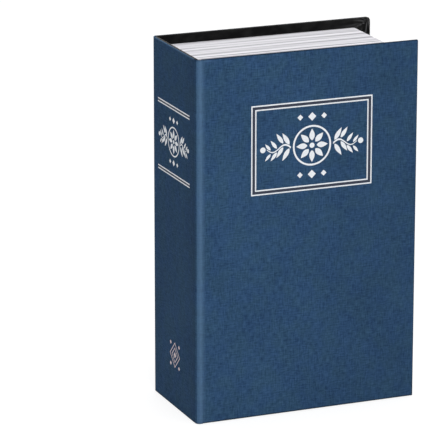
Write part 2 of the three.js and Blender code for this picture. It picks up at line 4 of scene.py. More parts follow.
import bmesh
import bpy
import numpy as np
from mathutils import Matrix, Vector

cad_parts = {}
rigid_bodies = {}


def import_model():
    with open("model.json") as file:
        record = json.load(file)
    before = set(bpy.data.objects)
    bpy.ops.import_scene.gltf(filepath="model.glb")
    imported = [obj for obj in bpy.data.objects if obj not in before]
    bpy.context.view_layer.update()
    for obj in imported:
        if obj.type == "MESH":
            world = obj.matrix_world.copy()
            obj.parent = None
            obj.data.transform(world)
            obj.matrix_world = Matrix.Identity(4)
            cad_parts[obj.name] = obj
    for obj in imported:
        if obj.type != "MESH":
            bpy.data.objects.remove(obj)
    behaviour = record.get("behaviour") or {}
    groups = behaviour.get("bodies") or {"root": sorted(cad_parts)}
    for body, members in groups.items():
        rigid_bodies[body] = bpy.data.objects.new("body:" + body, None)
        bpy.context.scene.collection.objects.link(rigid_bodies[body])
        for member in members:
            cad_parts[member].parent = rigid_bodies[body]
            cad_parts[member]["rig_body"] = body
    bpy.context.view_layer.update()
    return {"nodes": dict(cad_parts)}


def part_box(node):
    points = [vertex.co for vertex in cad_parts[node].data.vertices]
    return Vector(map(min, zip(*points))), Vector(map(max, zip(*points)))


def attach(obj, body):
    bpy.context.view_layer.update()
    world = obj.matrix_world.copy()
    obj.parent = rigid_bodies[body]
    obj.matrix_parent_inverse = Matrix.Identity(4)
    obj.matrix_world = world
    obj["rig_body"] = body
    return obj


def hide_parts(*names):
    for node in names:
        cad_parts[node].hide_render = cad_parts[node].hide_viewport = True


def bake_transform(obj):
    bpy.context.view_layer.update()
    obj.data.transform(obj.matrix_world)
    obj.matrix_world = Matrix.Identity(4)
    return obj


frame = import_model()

# A book diversion safe: a steel box with a hinged, combination-locked lid, hidden in a
# hardback book. The sections follow the book from its covers in to its lock. Sizes are
# in millimetres, in the model's own frame, and turn into metres where a mesh is made. The
# camera and the lamps stand in metres.

MM = 0.001

# The camera looks down on the upper left of the front cover through a long lens. Its
# angles and its distance were fitted to seven corners of the closed book.
CAMERA_AZIMUTH = math.radians(-22.28)
CAMERA_ELEVATION = math.radians(15.81)
CAMERA_DISTANCE = 1.6406
CAMERA_TARGET = Vector((-0.03639, 0.0, 0.09528))
SENSOR_WIDTH = 36.0
FOCAL_LENGTH = 283.8

camera_data = bpy.data.cameras.new("camera")
camera_data.sensor_width = SENSOR_WIDTH
camera_data.sensor_fit = "HORIZONTAL"
camera_data.lens = FOCAL_LENGTH
camera = bpy.data.objects.new("camera", camera_data)
bpy.context.scene.collection.objects.link(camera)
away = Vector((
    math.sin(CAMERA_AZIMUTH) * math.cos(CAMERA_ELEVATION),
    -math.cos(CAMERA_AZIMUTH) * math.cos(CAMERA_ELEVATION),
    math.sin(CAMERA_ELEVATION),
))
camera.location = CAMERA_TARGET + CAMERA_DISTANCE * away
camera.rotation_euler = away.to_track_quat("Z", "Y").to_euler()
bpy.context.scene.camera = camera
bpy.context.scene.view_settings.view_transform = "Standard"


# The studio: a pale floor, a white surround and large soft lamps. The surround lights
# the object at one level and shows as white. The floor keeps the book's soft shadow: the
# camera sees it glow up to white, and all other light meets it as plain pale grey.
SURROUND_LIGHT = 0.29
FLOOR_REACH = 4.0
FLOOR_DROP = 0.0002
FLOOR_MATT = 0.36
FLOOR_GLOW = 0.74
FLOOR_BOUNCE = 0.8
BOOK_MIDDLE = Vector((0, 0, 0.09))
LAMPS = {
    "key": ((-0.30, -1.06, 0.65), 0.9, 7.4),
    "fill": ((1.5, -1.2, 0.9), 1.4, 2.6),
    "top": ((0.0, -0.1, 1.9), 1.2, 16.0),
    "back": ((0.5, 1.7, 1.1), 1.4, 7.0),
}


def add_node(tree, kind, inputs=None, **settings):
    """A shader node, its settings, and its inputs as plain values or other nodes' sockets."""
    node = tree.nodes.new(kind)
    for key, value in settings.items():
        setattr(node, key, value)
    for key, value in (inputs or {}).items():
        if isinstance(value, bpy.types.NodeSocket):
            tree.links.new(value, node.inputs[key])
        else:
            node.inputs[key].default_value = value
    return node


def calculate(tree, operation, *values):
    """The result of a Math node on up to three numbers or sockets."""
    return add_node(tree, "ShaderNodeMath", dict(enumerate(values)), operation=operation).outputs[0]


def grey(level):
    """A neutral colour."""
    return (level, level, level, 1.0)


def either(tree, first, second):
    """A factor that is 1 where any of two yes-or-no factors is 1."""
    return calculate(tree, "MAXIMUM", first, second)


world = bpy.data.worlds.new("surround")
bpy.context.scene.world = world
world.use_nodes = True
tree = world.node_tree
tree.nodes.clear()
path = add_node(tree, "ShaderNodeLightPath").outputs
seen = either(tree, either(tree, path["Is Camera Ray"], path["Is Glossy Ray"]),
              path["Is Transmission Ray"])
lighting = add_node(tree, "ShaderNodeBackground", {"Color": grey(1), "Strength": SURROUND_LIGHT})
white = add_node(tree, "ShaderNodeBackground", {"Color": grey(1), "Strength": 1.0})
mixed = add_node(tree, "ShaderNodeMixShader", {0: seen, 1: lighting.outputs[0], 2: white.outputs[0]})
add_node(tree, "ShaderNodeOutputWorld", {"Surface": mixed.outputs[0]})

for name, (place, width, power) in LAMPS.items():
    lamp_data = bpy.data.lights.new(name, "AREA")
    lamp_data.shape = "DISK"
    lamp_data.size = width
    lamp_data.energy = power
    lamp = bpy.data.objects.new(name, lamp_data)
    lamp.location = place
    lamp.rotation_euler = (Vector(place) - BOOK_MIDDLE).to_track_quat("Z", "Y").to_euler()
    bpy.context.scene.collection.objects.link(lamp)

floor_mesh = bpy.data.meshes.new("floor")
floor_corners = [(x * FLOOR_REACH, y * FLOOR_REACH, 0) for x, y in ((-1, -1), (1, -1), (1, 1), (-1, 1))]
floor_mesh.from_pydata(floor_corners, [], [(0, 1, 2, 3)])
floor = bpy.data.objects.new("floor", floor_mesh)
floor.location.z = -FLOOR_DROP
bpy.context.scene.collection.objects.link(floor)
floor_white = bpy.data.materials.new("floor_white")
floor_white.use_nodes = True
tree = floor_white.node_tree
tree.nodes.clear()
path = add_node(tree, "ShaderNodeLightPath").outputs
seen = either(tree, path["Is Camera Ray"], path["Is Glossy Ray"])
matt = add_node(tree, "ShaderNodeBsdfDiffuse", {"Color": grey(FLOOR_MATT)})
glow = add_node(tree, "ShaderNodeEmission", {"Color": grey(FLOOR_GLOW), "Strength": 1.0})
both = add_node(tree, "ShaderNodeAddShader", {0: matt.outputs[0], 1: glow.outputs[0]})
pale = add_node(tree, "ShaderNodeBsdfDiffuse", {"Color": grey(FLOOR_BOUNCE)})
mixed = add_node(tree, "ShaderNodeMixShader", {0: seen, 1: pale.outputs[0], 2: both.outputs[0]})
add_node(tree, "ShaderNodeOutputMaterial", {"Surface": mixed.outputs[0]})
floor_mesh.materials.append(floor_white)


# The front cover's cloth. Real: one sheet of blue linen book cloth, glued over grey
# board, with its head, fore-edge and tail turned in on to the inner face.
CLOTH_THICKNESS = 0.4
CLOTH_LAP = 0.04
INNER_LAP = 0.03
COVER_THICKNESS = 2.0
COVER_EDGE_RADIUS = 0.7
COVER_CORNER = 0.4
TURN_IN = 4.0
TURN_IN_EASE = 0.15
THREAD_PITCH = 0.42


def node_box(node):
    """The lowest and the highest corner of a node of the model, in millimetres."""
    low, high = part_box(node)
    return np.array(low) / MM, np.array(high) / MM


def grid_faces(rows, columns, rows_closed=False, columns_closed=False):
    """Quads between neighbouring points of a grid that is stored row by row."""
    index = np.arange(rows * columns).reshape(rows, columns)
    if rows_closed:
        index = np.vstack([index, index[:1]])
    if columns_closed:
        index = np.hstack([index, index[:, :1]])
    quads = np.stack([index[:-1, :-1], index[:-1, 1:], index[1:, 1:], index[1:, :-1]], axis=-1)
    return quads.reshape(-1, 4)


def make_piece(name, points, faces, body, material_slot, material, replaced=(), uv=None,
               smooth=40, **shades):
    """A mesh object from points in millimetres. The mesh merges doubles, drops faces without
    area and turns its normals outwards. Edges sharper than the smooth angle stay sharp. Each
    shade is a value from 0 to 1 at every point, which the material reads by its name."""
    mesh = bpy.data.meshes.new(name)
    mesh.from_pydata((np.asarray(points, float) * MM).tolist(), [], np.asarray(faces).tolist()
                     if isinstance(faces, np.ndarray) else [list(face) for face in faces])
    if uv is not None:
        layer = mesh.uv_layers.new(name="UVMap")
        corner_points = np.zeros(len(mesh.loops), np.int32)
        mesh.loops.foreach_get("vertex_index", corner_points)
        layer.data.foreach_set("uv", (np.asarray(uv, float)[corner_points] * MM).ravel())
    for shade_name, values in shades.items():
        shade = mesh.attributes.new(shade_name, "FLOAT", "POINT")
        shade.data.foreach_set("value", np.asarray(values, np.float32))
    shaped = bmesh.new()
    shaped.from_mesh(mesh)
    bmesh.ops.remove_doubles(shaped, verts=shaped.verts, dist=1e-7)
    bmesh.ops.dissolve_degenerate(shaped, edges=shaped.edges, dist=1e-8)
    bmesh.ops.recalc_face_normals(shaped, faces=shaped.faces)
    shaped.to_mesh(mesh)
    shaped.free()
    mesh.shade_smooth()
    mesh.set_sharp_from_angle(angle=math.radians(smooth))
    mesh.materials.append(material)
    made = bpy.data.objects.new(name, mesh)
    bpy.context.scene.collection.objects.link(made)
    if replaced:
        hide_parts(*replaced)
    if body:
        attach(made, body)
    return made


def arc(centre, radius, start, stop, steps):
    """Points on a circle: its centre plus radius times the cosine and sine of each angle."""
    angle = np.radians(np.linspace(start, stop, steps + 1))
    return np.stack([centre[0] + radius * np.cos(angle), centre[1] + radius * np.sin(angle)], axis=1)


def loop_corners(x0, x1, z0, z1, radii, side_steps):
    """One loop round a rectangle with four rounded corners, from the lower left one round to
    the upper left. Each corner has seven points, and each side side_steps - 1 more."""
    low_left, low_right, high_right, high_left = (max(radius, 1e-3) for radius in radii)
    corners = [
        arc((x0 + low_left, z0 + low_left), low_left, 180, 270, 6),
        arc((x1 - low_right, z0 + low_right), low_right, 270, 360, 6),
        arc((x1 - high_right, z1 - high_right), high_right, 0, 90, 6),
        arc((x0 + high_left, z1 - high_left), high_left, 90, 180, 6),
    ]
    share = np.linspace(0, 1, side_steps + 1)[1:-1, None]
    pieces = []
    for corner, following in zip(corners, corners[1:] + corners[:1]):
        pieces.append(corner)
        pieces.append(corner[-1] * (1 - share) + following[0] * share)
    return np.vstack(pieces)


def new_material(name, **sockets):
    """A material with a Principled shader whose named sockets are set to plain values."""
    made = bpy.data.materials.new(name)
    made.use_nodes = True
    tree = made.node_tree
    tree.nodes.clear()
    shader = add_node(tree, "ShaderNodeBsdfPrincipled", {
        key.replace("_", " "): value for key, value in sockets.items()})
    add_node(tree, "ShaderNodeOutputMaterial", {"Surface": shader.outputs[0]})
    return made, tree, shader


def blend_colours(tree, factor, low, high):
    """A colour between two: the low one at factor 0 and the high one at 1."""
    node = add_node(tree, "ShaderNodeMix", {0: factor, 6: low, 7: high}, data_type="RGBA")
    return node.outputs[2]


def rescaled(tree, value, low, high, to_low=0.0, to_high=1.0):
    """A value carried from one range to another and kept inside it."""
    node = add_node(tree, "ShaderNodeMapRange", {0: value, 1: low, 2: high, 3: to_low, 4: to_high})
    return node.outputs[0]


def object_place(tree):
    """Where a shaded point lies in the piece's own coordinates, in metres."""
    return add_node(tree, "ShaderNodeTexCoord").outputs["Object"]


def even_noise(tree, vector, scale, detail, roughness):
    """Noise over a vector at one scale, per metre."""
    node = add_node(tree, "ShaderNodeTexNoise", {
        "Vector": vector, "Scale": scale, "Detail": detail, "Roughness": roughness})
    return node.outputs[0]


def stretched_noise(tree, vector, scale, detail=2.0):
    """Noise over a vector that is first scaled by three numbers, per metre."""
    placed = add_node(tree, "ShaderNodeMapping", {"Vector": vector, "Scale": scale})
    return even_noise(tree, placed.outputs[0], 1.0, detail, 0.55)


def rgb(red, green, blue):
    """A colour written as screen values from 0 to 255, as the shader's linear colour."""
    def linear(value):
        value /= 255
        return value / 12.92 if value <= 0.04045 else ((value + 0.055) / 1.055) ** 2.4
    return (linear(red), linear(green), linear(blue), 1.0)


def colour_by(tree, shader, value, span, low_colour, high_colour):
    """The base colour by a value: the low colour where its span starts, the high one where
    it ends."""
    mixed = blend_colours(tree, rescaled(tree, value, *span), low_colour, high_colour)
    tree.links.new(mixed, shader.inputs["Base Color"])


def roughness_by(tree, shader, value, span, to_low, to_high):
    """The roughness by a value, from the start of its span to the end."""
    tree.links.new(rescaled(tree, value, *span, to_low, to_high), shader.inputs["Roughness"])


def add_bump(tree, shader, height, relief, strength):
    """The shader's normal, bumped by a height times a relief in millimetres."""
    node = add_node(tree, "ShaderNodeBump", {
        "Strength": strength, "Distance": relief * MM, "Height": height})
    tree.links.new(node.outputs[0], shader.inputs["Normal"])


# Plain weave on a UV map in metres. The two threads of each crossing are round bars,
# and sin(pi u / p) sin(pi v / p) says which of them lies on top. Slubs are stretched noise.
THREAD_WANDER = 0.6

weave_group = bpy.data.node_groups.new("plain_weave", "ShaderNodeTree")
for name, direction, kind in (("Vector", "INPUT", "Vector"), ("Pitch", "INPUT", "Float"),
                              ("Height", "OUTPUT", "Float"), ("Slubs", "OUTPUT", "Float")):
    weave_group.interface.new_socket(name, in_out=direction, socket_type=f"NodeSocket{kind}")


def thread(tree, position, pitch):
    """The round back of a thread: 1 - (2 f - 1)^2, f being how far across it a point is."""
    share = calculate(tree, "FRACT", calculate(tree, "DIVIDE", position, pitch))
    side = calculate(tree, "MULTIPLY_ADD", share, 2.0, -1.0)
    return calculate(tree, "SUBTRACT", 1.0, calculate(tree, "MULTIPLY", side, side))


def fill_weave_group(tree):
    """Height is the higher of the two threads, and Slubs is how thick and light they are."""
    given = add_node(tree, "NodeGroupInput").outputs
    vector, pitch = given["Vector"], given["Pitch"]
    wander = stretched_noise(tree, vector, (420, 420, 1), 1.0)
    offset = calculate(tree, "MULTIPLY", calculate(tree, "SUBTRACT", wander, 0.5), THREAD_WANDER * MM)
    place = add_node(tree, "ShaderNodeSeparateXYZ", {0: vector}).outputs
    across = calculate(tree, "ADD", place[0], offset)
    along = calculate(tree, "SUBTRACT", place[1], offset)
    half_turn = calculate(tree, "DIVIDE", math.pi, pitch)
    crossing = calculate(
        tree, "MULTIPLY",
        calculate(tree, "SINE", calculate(tree, "MULTIPLY", across, half_turn)),
        calculate(tree, "SINE", calculate(tree, "MULTIPLY", along, half_turn)))
    warp = calculate(tree, "MULTIPLY", thread(tree, across, pitch),
                     calculate(tree, "MULTIPLY_ADD", crossing, 0.4, 0.6))
    weft = calculate(tree, "MULTIPLY", thread(tree, along, pitch),
                     calculate(tree, "MULTIPLY_ADD", crossing, -0.4, 0.6))
    warp_slub = stretched_noise(tree, vector, (1500, 260, 1), 3.0)
    weft_slub = stretched_noise(tree, vector, (320, 1500, 1), 3.0)
    slubs = calculate(tree, "MULTIPLY", calculate(tree, "ADD", warp_slub, weft_slub), 0.5)
    height = calculate(tree, "MULTIPLY", calculate(tree, "MAXIMUM", warp, weft),
                       calculate(tree, "MULTIPLY_ADD", slubs, 0.8, 0.6))
    add_node(tree, "NodeGroupOutput", {"Height": height, "Slubs": slubs})


fill_weave_group(weave_group)


def add_weave(tree):
    """The weave on the piece's own UV map: its height, its slubs and the map."""
    uv = add_node(tree, "ShaderNodeUVMap", uv_map="UVMap").outputs[0]
    node = add_node(tree, "ShaderNodeGroup", node_tree=weave_group)
    tree.links.new(uv, node.inputs["Vector"])
    node.inputs["Pitch"].default_value = THREAD_PITCH * MM
    return node.outputs["Height"], node.outputs["Slubs"], uv


# The book cloth's colours: dark gaps between blue threads with lighter slubs. Threads are paler where the
# cloth is worn and where a highlight is painted, and darker, down to nearly black, under painted shade
# and where the cloth is made darker.
book_cloth, tree, shader = new_material("book_cloth", Roughness=0.8, Specular_IOR_Level=0.04)
height, slubs, uv = add_weave(tree)
patches = stretched_noise(tree, uv, (38, 30, 1), 3.0)
dye = stretched_noise(tree, uv, (120, 90, 1), 2.0)
shade = calculate(tree, "ADD", rescaled(tree, slubs, 0.36, 0.64, 0.06, 0.66),
                  rescaled(tree, patches, 0.3, 0.7, 0.03, 0.22))
bluer = blend_colours(tree, shade, rgb(30, 54, 88), rgb(69, 105, 143))
greener = blend_colours(tree, shade, rgb(32, 56, 84), rgb(70, 106, 136))
yarn = blend_colours(tree, rescaled(tree, dye, 0.4, 0.6), bluer, greener)
gaps = rescaled(tree, height, 0.05, 0.75)
cloth_colour = blend_colours(tree, gaps, rgb(24, 44, 71), yarn)
# Lighter blue: worn cloth with a painted highlight.
rubbed = add_node(tree, "ShaderNodeAttribute", attribute_name="rubbed").outputs["Fac"]
cloth_colour = blend_colours(tree, calculate(tree, "MULTIPLY", rubbed, 0.47),
                             cloth_colour, rgb(102, 135, 168))
# Near-black navy: painted shade, and a plain darkening towards the front cover's fore-edge.
soiled = add_node(tree, "ShaderNodeAttribute", attribute_name="soiled").outputs["Fac"]
cloth_colour = blend_colours(tree, soiled, cloth_colour, rgb(16, 26, 37))
tree.links.new(cloth_colour, shader.inputs["Base Color"])
add_bump(tree, shader, height, 0.12, 0.7)


def slab_loops(rows, side_steps=14):
    """Loops round a slab, one for each row of x0, x1, z0, z1, corner radii and depth, as points
    in x, y and z. Each loop runs from its lower left corner round to its upper left."""
    loops = []
    for x0, x1, z0, z1, radii, depth in rows:
        flat = loop_corners(x0, x1, z0, z1, radii, side_steps=side_steps)
        loops.append(np.stack([flat[:, 0], np.full(len(flat), depth), flat[:, 1]], axis=1))
    return np.array(loops)


def cover_cloth(left, right, bottom, top, outer):
    """The cloth of the cover, as a shell: its outer face, three rounded edges, the turned-in
    strips, and the same surface again one cloth thickness further in. On a rounded edge of
    radius r a point at angle a is drawn in by r - r sin a and lies r - r cos a deep."""
    r = COVER_EDGE_RADIUS
    t = CLOTH_THICKNESS
    back = COVER_THICKNESS
    reach = (right - left) / 2
    edge = [(r - r * math.sin(a), r - r * math.cos(a)) for a in np.linspace(0, math.pi / 2, 7)]
    rim = edge + [(inset, back - depth) for inset, depth in reversed(edge)]
    rim += [(TURN_IN - TURN_IN_EASE, back), (TURN_IN, back - 0.1), (TURN_IN, back - t),
            (t, back - t), (t, t)]
    rows = []

    def add(share, inset, radius, depth):
        rows.append((left + reach * share, right - inset, bottom + inset, top - inset,
                     (0, radius, radius, 0), outer + depth))

    for share in np.linspace(1, 0, 13)[:-1] ** 2:
        add(share, r + (reach - r) * share, 0, 0)
    for inset, depth in rim:
        start = INNER_LAP / reach if depth in (t, back - t) else 0
        add(start, inset, max(COVER_CORNER - inset, 0.0), depth)
    for share in np.linspace(0, 1, 5)[1:]:
        add(share, t + (reach - t) * share, 0, t)
    return slab_loops(rows)


def edge_distance(points, low, high):
    """How far each point of a cover lies from its head, its tail or its fore-edge."""
    return np.minimum.reduce([high[0] - points[:, 0], high[2] - points[:, 2], points[:, 2] - low[2]])


front_low, front_high = node_box("front_cloth")
loops = cover_cloth(front_low[0] - CLOTH_LAP, front_high[0], front_low[2], front_high[2],
                    front_low[1])
points = loops.reshape(-1, 3)
# Painted shade: a dark line along the head, tail and fore-edge, and a darker strip along the tail. The
# cloth is also a little darker towards the fore-edge. Along the joint it is lightened: worn cloth with a
# painted highlight.
dark_edge = np.clip(1.3 - edge_distance(points, front_low, front_high) / 0.4, 0, 1) * 0.8
scuffed_tail = np.clip(1.4 - (points[:, 2] - front_low[2]) / 0.7, 0, 1) * 0.9
handled = np.clip((points[:, 0] + 10) / 50, 0, 1) * 0.13
make_piece("front_cover_cloth", points, grid_faces(*loops.shape[:2], columns_closed=True),
           "front_cover", "book_cloth", book_cloth, ["front_cloth"], uv=points[:, [0, 2]],
           rubbed=np.clip(0.5 - (points[:, 0] - front_low[0]) / 1.6, 0, 1),
           soiled=np.maximum.reduce([dark_edge, scuffed_tail, handled]))


# The endpaper inside the front cover. Real: plain white paper, pasted over the board and
# the turned-in cloth, so that it stands a little higher over the edges of the turn-ins.
PAPER_THICKNESS = 0.4
PAPER_LIFT = 0.02
PAPER_EASE = 0.06
PAPER_RELIEF = 0.1
RELIEF_INSET = 9.0
RELIEF_WIDTH = 1.5

endpaper, tree, shader = new_material("endpaper", Roughness=0.86, Specular_IOR_Level=0.3)
place = object_place(tree)
fibres = stretched_noise(tree, place, (900, 900, 600), 4.0)
clouds = stretched_noise(tree, place, (30, 30, 30), 3.0)
paper_shade = calculate(tree, "MULTIPLY_ADD", fibres, 0.5, calculate(tree, "MULTIPLY", clouds, 0.5))
colour_by(tree, shader, paper_shade, (0.3, 0.7), rgb(233, 232, 229), rgb(243, 242, 240))
add_bump(tree, shader, paper_shade, 0.06, 0.5)

paper_low, paper_high = node_box("front_endpaper")
reach = (paper_high[0] - paper_low[0]) / 2


def paper_row(inset, depth):
    """One loop of the paper, drawn in by an inset on all four sides."""
    return (paper_low[0] + inset, paper_high[0] - inset, paper_low[2] + inset, paper_high[2] - inset,
            (0, 0, 0, 0), depth)


rows = [paper_row(reach * share, paper_low[1] + PAPER_LIFT) for share in np.linspace(1, 0, 9)]
for inset, depth in ((0, PAPER_LIFT), (0, PAPER_THICKNESS - PAPER_EASE), (PAPER_EASE, PAPER_THICKNESS)):
    rows.append(paper_row(inset, paper_low[1] + depth))
slope = RELIEF_INSET + np.linspace(-RELIEF_WIDTH, RELIEF_WIDTH, 9)
for inset in np.r_[slope, np.linspace(RELIEF_INSET + 2 * RELIEF_WIDTH, reach, 9)]:
    drop = PAPER_RELIEF / (1 + math.exp(-4 * (inset - RELIEF_INSET)))
    rows.append(paper_row(inset, paper_high[1] - drop))
loops = slab_loops(rows)
make_piece("front_cover_endpaper", loops.reshape(-1, 3),
           grid_faces(*loops.shape[:2], columns_closed=True),
           "front_cover", "endpaper", endpaper, ["front_endpaper"])


# The foil frame on the front cover. Real: foil stamped through the weave: two white rules round a panel,
# with a thin dark strip between them as a painted shadow. The panel holds a plain ornament: a rosette in
# a ring, a leafy stem at each side of it, and lozenges above and below.
FRAME_X = (-29.5, 33.5)
FRAME_Z = (111.2, 155.3)
RULE_WIDTH = 0.62
RULE_PITCH = 2.0
RULE_GAP = 0.12
FOIL_HEIGHT = 0.03
FOIL_SINK = 0.02
ORNAMENT_REACH = 23.5
ROSETTE_RADIUS = 10.0


def foil_material(name, gap_colour, thread_colour, **sockets):
    """Foil that takes the relief of the weave under it: one colour in its gaps, and another
    on its threads."""
    made, tree, shader = new_material(name, **sockets)
    height = add_weave(tree)[0]
    colour_by(tree, shader, height, (0.0, 0.6), gap_colour, thread_colour)
    add_bump(tree, shader, height, 0.08, 0.6)
    return made


foil = foil_material("foil", rgb(150, 156, 166), rgb(236, 239, 243), Roughness=0.42, Metallic=0.25)
dark_foil = foil_material("dark_foil", rgb(30, 36, 52), rgb(56, 60, 74), Roughness=0.6,
                          Specular_IOR_Level=0.2)


def ring_outline(x0, x1, z0, z1, width):
    """A rectangular rule as one outline pair: the outer corners, and the inner ones."""
    outer = np.array([(x0, z0), (x1, z0), (x1, z1), (x0, z1)])
    inner = np.array([(x0 + width, z0 + width), (x1 - width, z0 + width),
                      (x1 - width, z1 - width), (x0 + width, z1 - width)])
    return outer, inner


def stamped(outlines, place):
    """Closed flat outlines with a small height. An outline is a pair of rings, for a shape
    with a hole, or one ring. Place turns a flat point and a height into a point in space."""
    points, faces = [], []
    for outline in outlines:
        first = len(points)
        if isinstance(outline, tuple):
            outer, inner = outline
            n = len(outer)
            for ring, level in ((outer, 0), (outer, 1), (inner, 1), (inner, 0)):
                points += [place(x, z, level) for x, z in ring]
            for ring in range(4):
                low, high = first + ring * n, first + ((ring + 1) % 4) * n
                faces += [(low + i, low + (i + 1) % n, high + (i + 1) % n, high + i) for i in range(n)]
        else:
            n = len(outline)
            for level in (0, 1):
                points += [place(x, z, level) for x, z in outline]
            faces += [(first + i, first + (i + 1) % n, first + n + (i + 1) % n, first + n + i)
                      for i in range(n)]
            faces += [tuple(range(first, first + n)), tuple(range(first + n, first + 2 * n))]
    return points, faces


def lozenge(x, z, width, height):
    """A lozenge about a centre."""
    return [(x - width / 2, z), (x, z - height / 2), (x + width / 2, z), (x, z + height / 2)]


def bar(x0, x1, z, width):
    """A level bar between two ends."""
    return [(x0, z - width / 2), (x1, z - width / 2), (x1, z + width / 2), (x0, z + width / 2)]


def leaf(x, z, angle, length, width, steps=9):
    """A pointed leaf from its foot at an angle: its half width at share t is w/2 sin(pi t^0.8)."""
    share = np.linspace(0, 1, steps + 1)
    half_width = width / 2 * np.sin(math.pi * share ** 0.8)
    along = np.r_[share, share[-2:0:-1]] * length
    aside = np.r_[-half_width, half_width[-2:0:-1]]
    turn = math.radians(angle)
    return [(x + a * math.cos(turn) - b * math.sin(turn), z + a * math.sin(turn) + b * math.cos(turn))
            for a, b in zip(along, aside)]


def round_dot(x, z, radius, sides=20):
    """A round dot."""
    return [(x + radius * math.cos(a), z + radius * math.sin(a))
            for a in np.linspace(0, 2 * math.pi, sides, endpoint=False)]


def round_ring(x, z, radius, width, sides=40):
    """A ring as one outline pair."""
    return np.array(round_dot(x, z, radius, sides)), np.array(round_dot(x, z, radius - width, sides))


def stem(centre, z, side, start, stop, wave, width, steps=26):
    """A waving stem away from a centre: z + wave sin(2 pi t) at share t, narrowing to its tip."""
    share = np.linspace(0, 1, steps + 1)
    x = centre + side * (start + (stop - start) * share)
    middle = z + wave * np.sin(2 * math.pi * share)
    half_width = width / 2 * (1 - 0.6 * share)
    return list(zip(np.r_[x, x[::-1]], np.r_[middle - half_width, (middle + half_width)[::-1]]))


def ornament(centre, z, reach, radius):
    """A rosette of eight leaves in a ring, with a leafy stem at each side and a row of three
    lozenges above and below it."""
    shapes = [round_ring(centre, z, radius, 0.09 * radius), round_dot(centre, z, 0.13 * radius)]
    shapes += [leaf(centre + 0.24 * radius * math.cos(math.radians(a)),
                    z + 0.24 * radius * math.sin(math.radians(a)), a, 0.58 * radius, 0.28 * radius)
               for a in range(0, 360, 45)]
    wave = 0.16 * radius
    start = 1.1 * radius
    for side in (-1, 1):
        shapes.append(stem(centre, z, side, start, reach, wave, 0.1 * radius))
        shapes.append(round_dot(centre + side * (reach + 0.2 * radius), z, 0.14 * radius))
        for i, share in enumerate((0.06, 0.32, 0.58, 0.84)):
            x = centre + side * (start + (reach - start) * share)
            foot = z + wave * math.sin(2 * math.pi * share)
            length = radius * (0.72 - 0.34 * share)
            for up in (-1, 1):
                angle = 90 - side * (90 - up * (58 - 3 * i))
                shapes.append(leaf(x, foot + up * 0.09 * radius, angle, length, 0.32 * length))
    for up in (-1, 1):
        for x, share in ((-0.62, 0.7), (0, 1), (0.62, 0.7)):
            width = 0.42 * radius * share
            shapes.append(lozenge(centre + x * radius, z + up * 1.42 * radius, width, width))
    return shapes


def on_front(x, z, level):
    """A point on the front cover's cloth, or one foil height in front of it."""
    return (x, front_low[1] + FOIL_SINK - (FOIL_SINK + FOIL_HEIGHT) * level, z)


centre_x = sum(FRAME_X) / 2
centre_z = sum(FRAME_Z) / 2
outlines = [ring_outline(FRAME_X[0] + i * RULE_PITCH, FRAME_X[1] - i * RULE_PITCH,
                         FRAME_Z[0] + i * RULE_PITCH, FRAME_Z[1] - i * RULE_PITCH, RULE_WIDTH)
            for i in range(2)]
outlines += ornament(centre_x, centre_z, ORNAMENT_REACH, ROSETTE_RADIUS)
points, faces = stamped(outlines, on_front)
make_piece("front_foil", points, faces, "front_cover", "book_foil", foil,
           uv=np.array(points)[:, [0, 2]])

# A thin dark strip between the two rules: a painted shadow.
inset = RULE_WIDTH + RULE_GAP
dark_line = ring_outline(FRAME_X[0] + inset, FRAME_X[1] - inset, FRAME_Z[0] + inset,
                         FRAME_Z[1] - inset, RULE_PITCH - inset - RULE_GAP)
points, faces = stamped([dark_line], on_front)
make_piece("front_dark_line", points, faces, "front_cover", "book_foil", dark_foil,
           uv=np.array(points)[:, [0, 2]])


# The cloth of the joint. Real: the same sheet of book cloth, carried round the front
# corner of the spine. It is not glued there, so it folds at a crease on each side.
CORNER_RADIUS = 2.2
JOINT_THICKNESS = 0.5
CREASE_DEPTH = 0.12
CREASE_WIDTH = 0.28
CREASE_INSET = 0.3
OUTER_SKIN = 0.3
WORN_FROM = 208
FOLD_RUN = 57.0
strip_low, strip_high = node_box("corner_cloth")
case_low, case_high = node_box("case_cloth")


def path_with_normals(pieces):
    """Stretches of a path in x and y joined end to end, with the outward normal and the
    distance along it at each point. The outward side is on the right of the path."""
    path = np.vstack(pieces)
    keep = np.r_[True, np.linalg.norm(np.diff(path, axis=0), axis=1) > 1e-6]
    path = path[keep]
    along = np.gradient(path, axis=0)
    along /= np.linalg.norm(along, axis=1, keepdims=True)
    normal = np.stack([along[:, 1], -along[:, 0]], axis=1)
    run = np.r_[0, np.cumsum(np.linalg.norm(np.diff(path, axis=0), axis=1))]
    return path, normal, run


def line(start, stop, steps):
    """Evenly spaced points on a straight line."""
    return np.linspace(start, stop, steps + 1)


def wrapped_shell(path, normal, rows, dents=None):
    """A sheet along a path in x and y: each row draws the path in along its normal by the
    row's inset and lifts it to the row's height. The rows are a closed ring round the sheet,
    and only its outer skin takes the dents."""
    insets, heights = np.array(rows).T
    dents = np.zeros(len(path)) if dents is None else dents
    drawn = insets[:, None] + dents[None, :] * (insets[:, None] < OUTER_SKIN)
    flat = path[None] - drawn[:, :, None] * normal[None]
    tall = np.broadcast_to(heights[:, None, None], flat.shape[:2] + (1,))
    return np.concatenate([flat, tall], axis=2)


def shell_faces(rows, columns):
    """The faces of a wrapped shell, with a closed end at both ends of its path."""
    faces = [tuple(face) for face in grid_faces(rows, columns, rows_closed=True)]
    faces.append(tuple(i * columns for i in range(rows)))
    faces.append(tuple(i * columns + columns - 1 for i in range(rows)))
    return faces


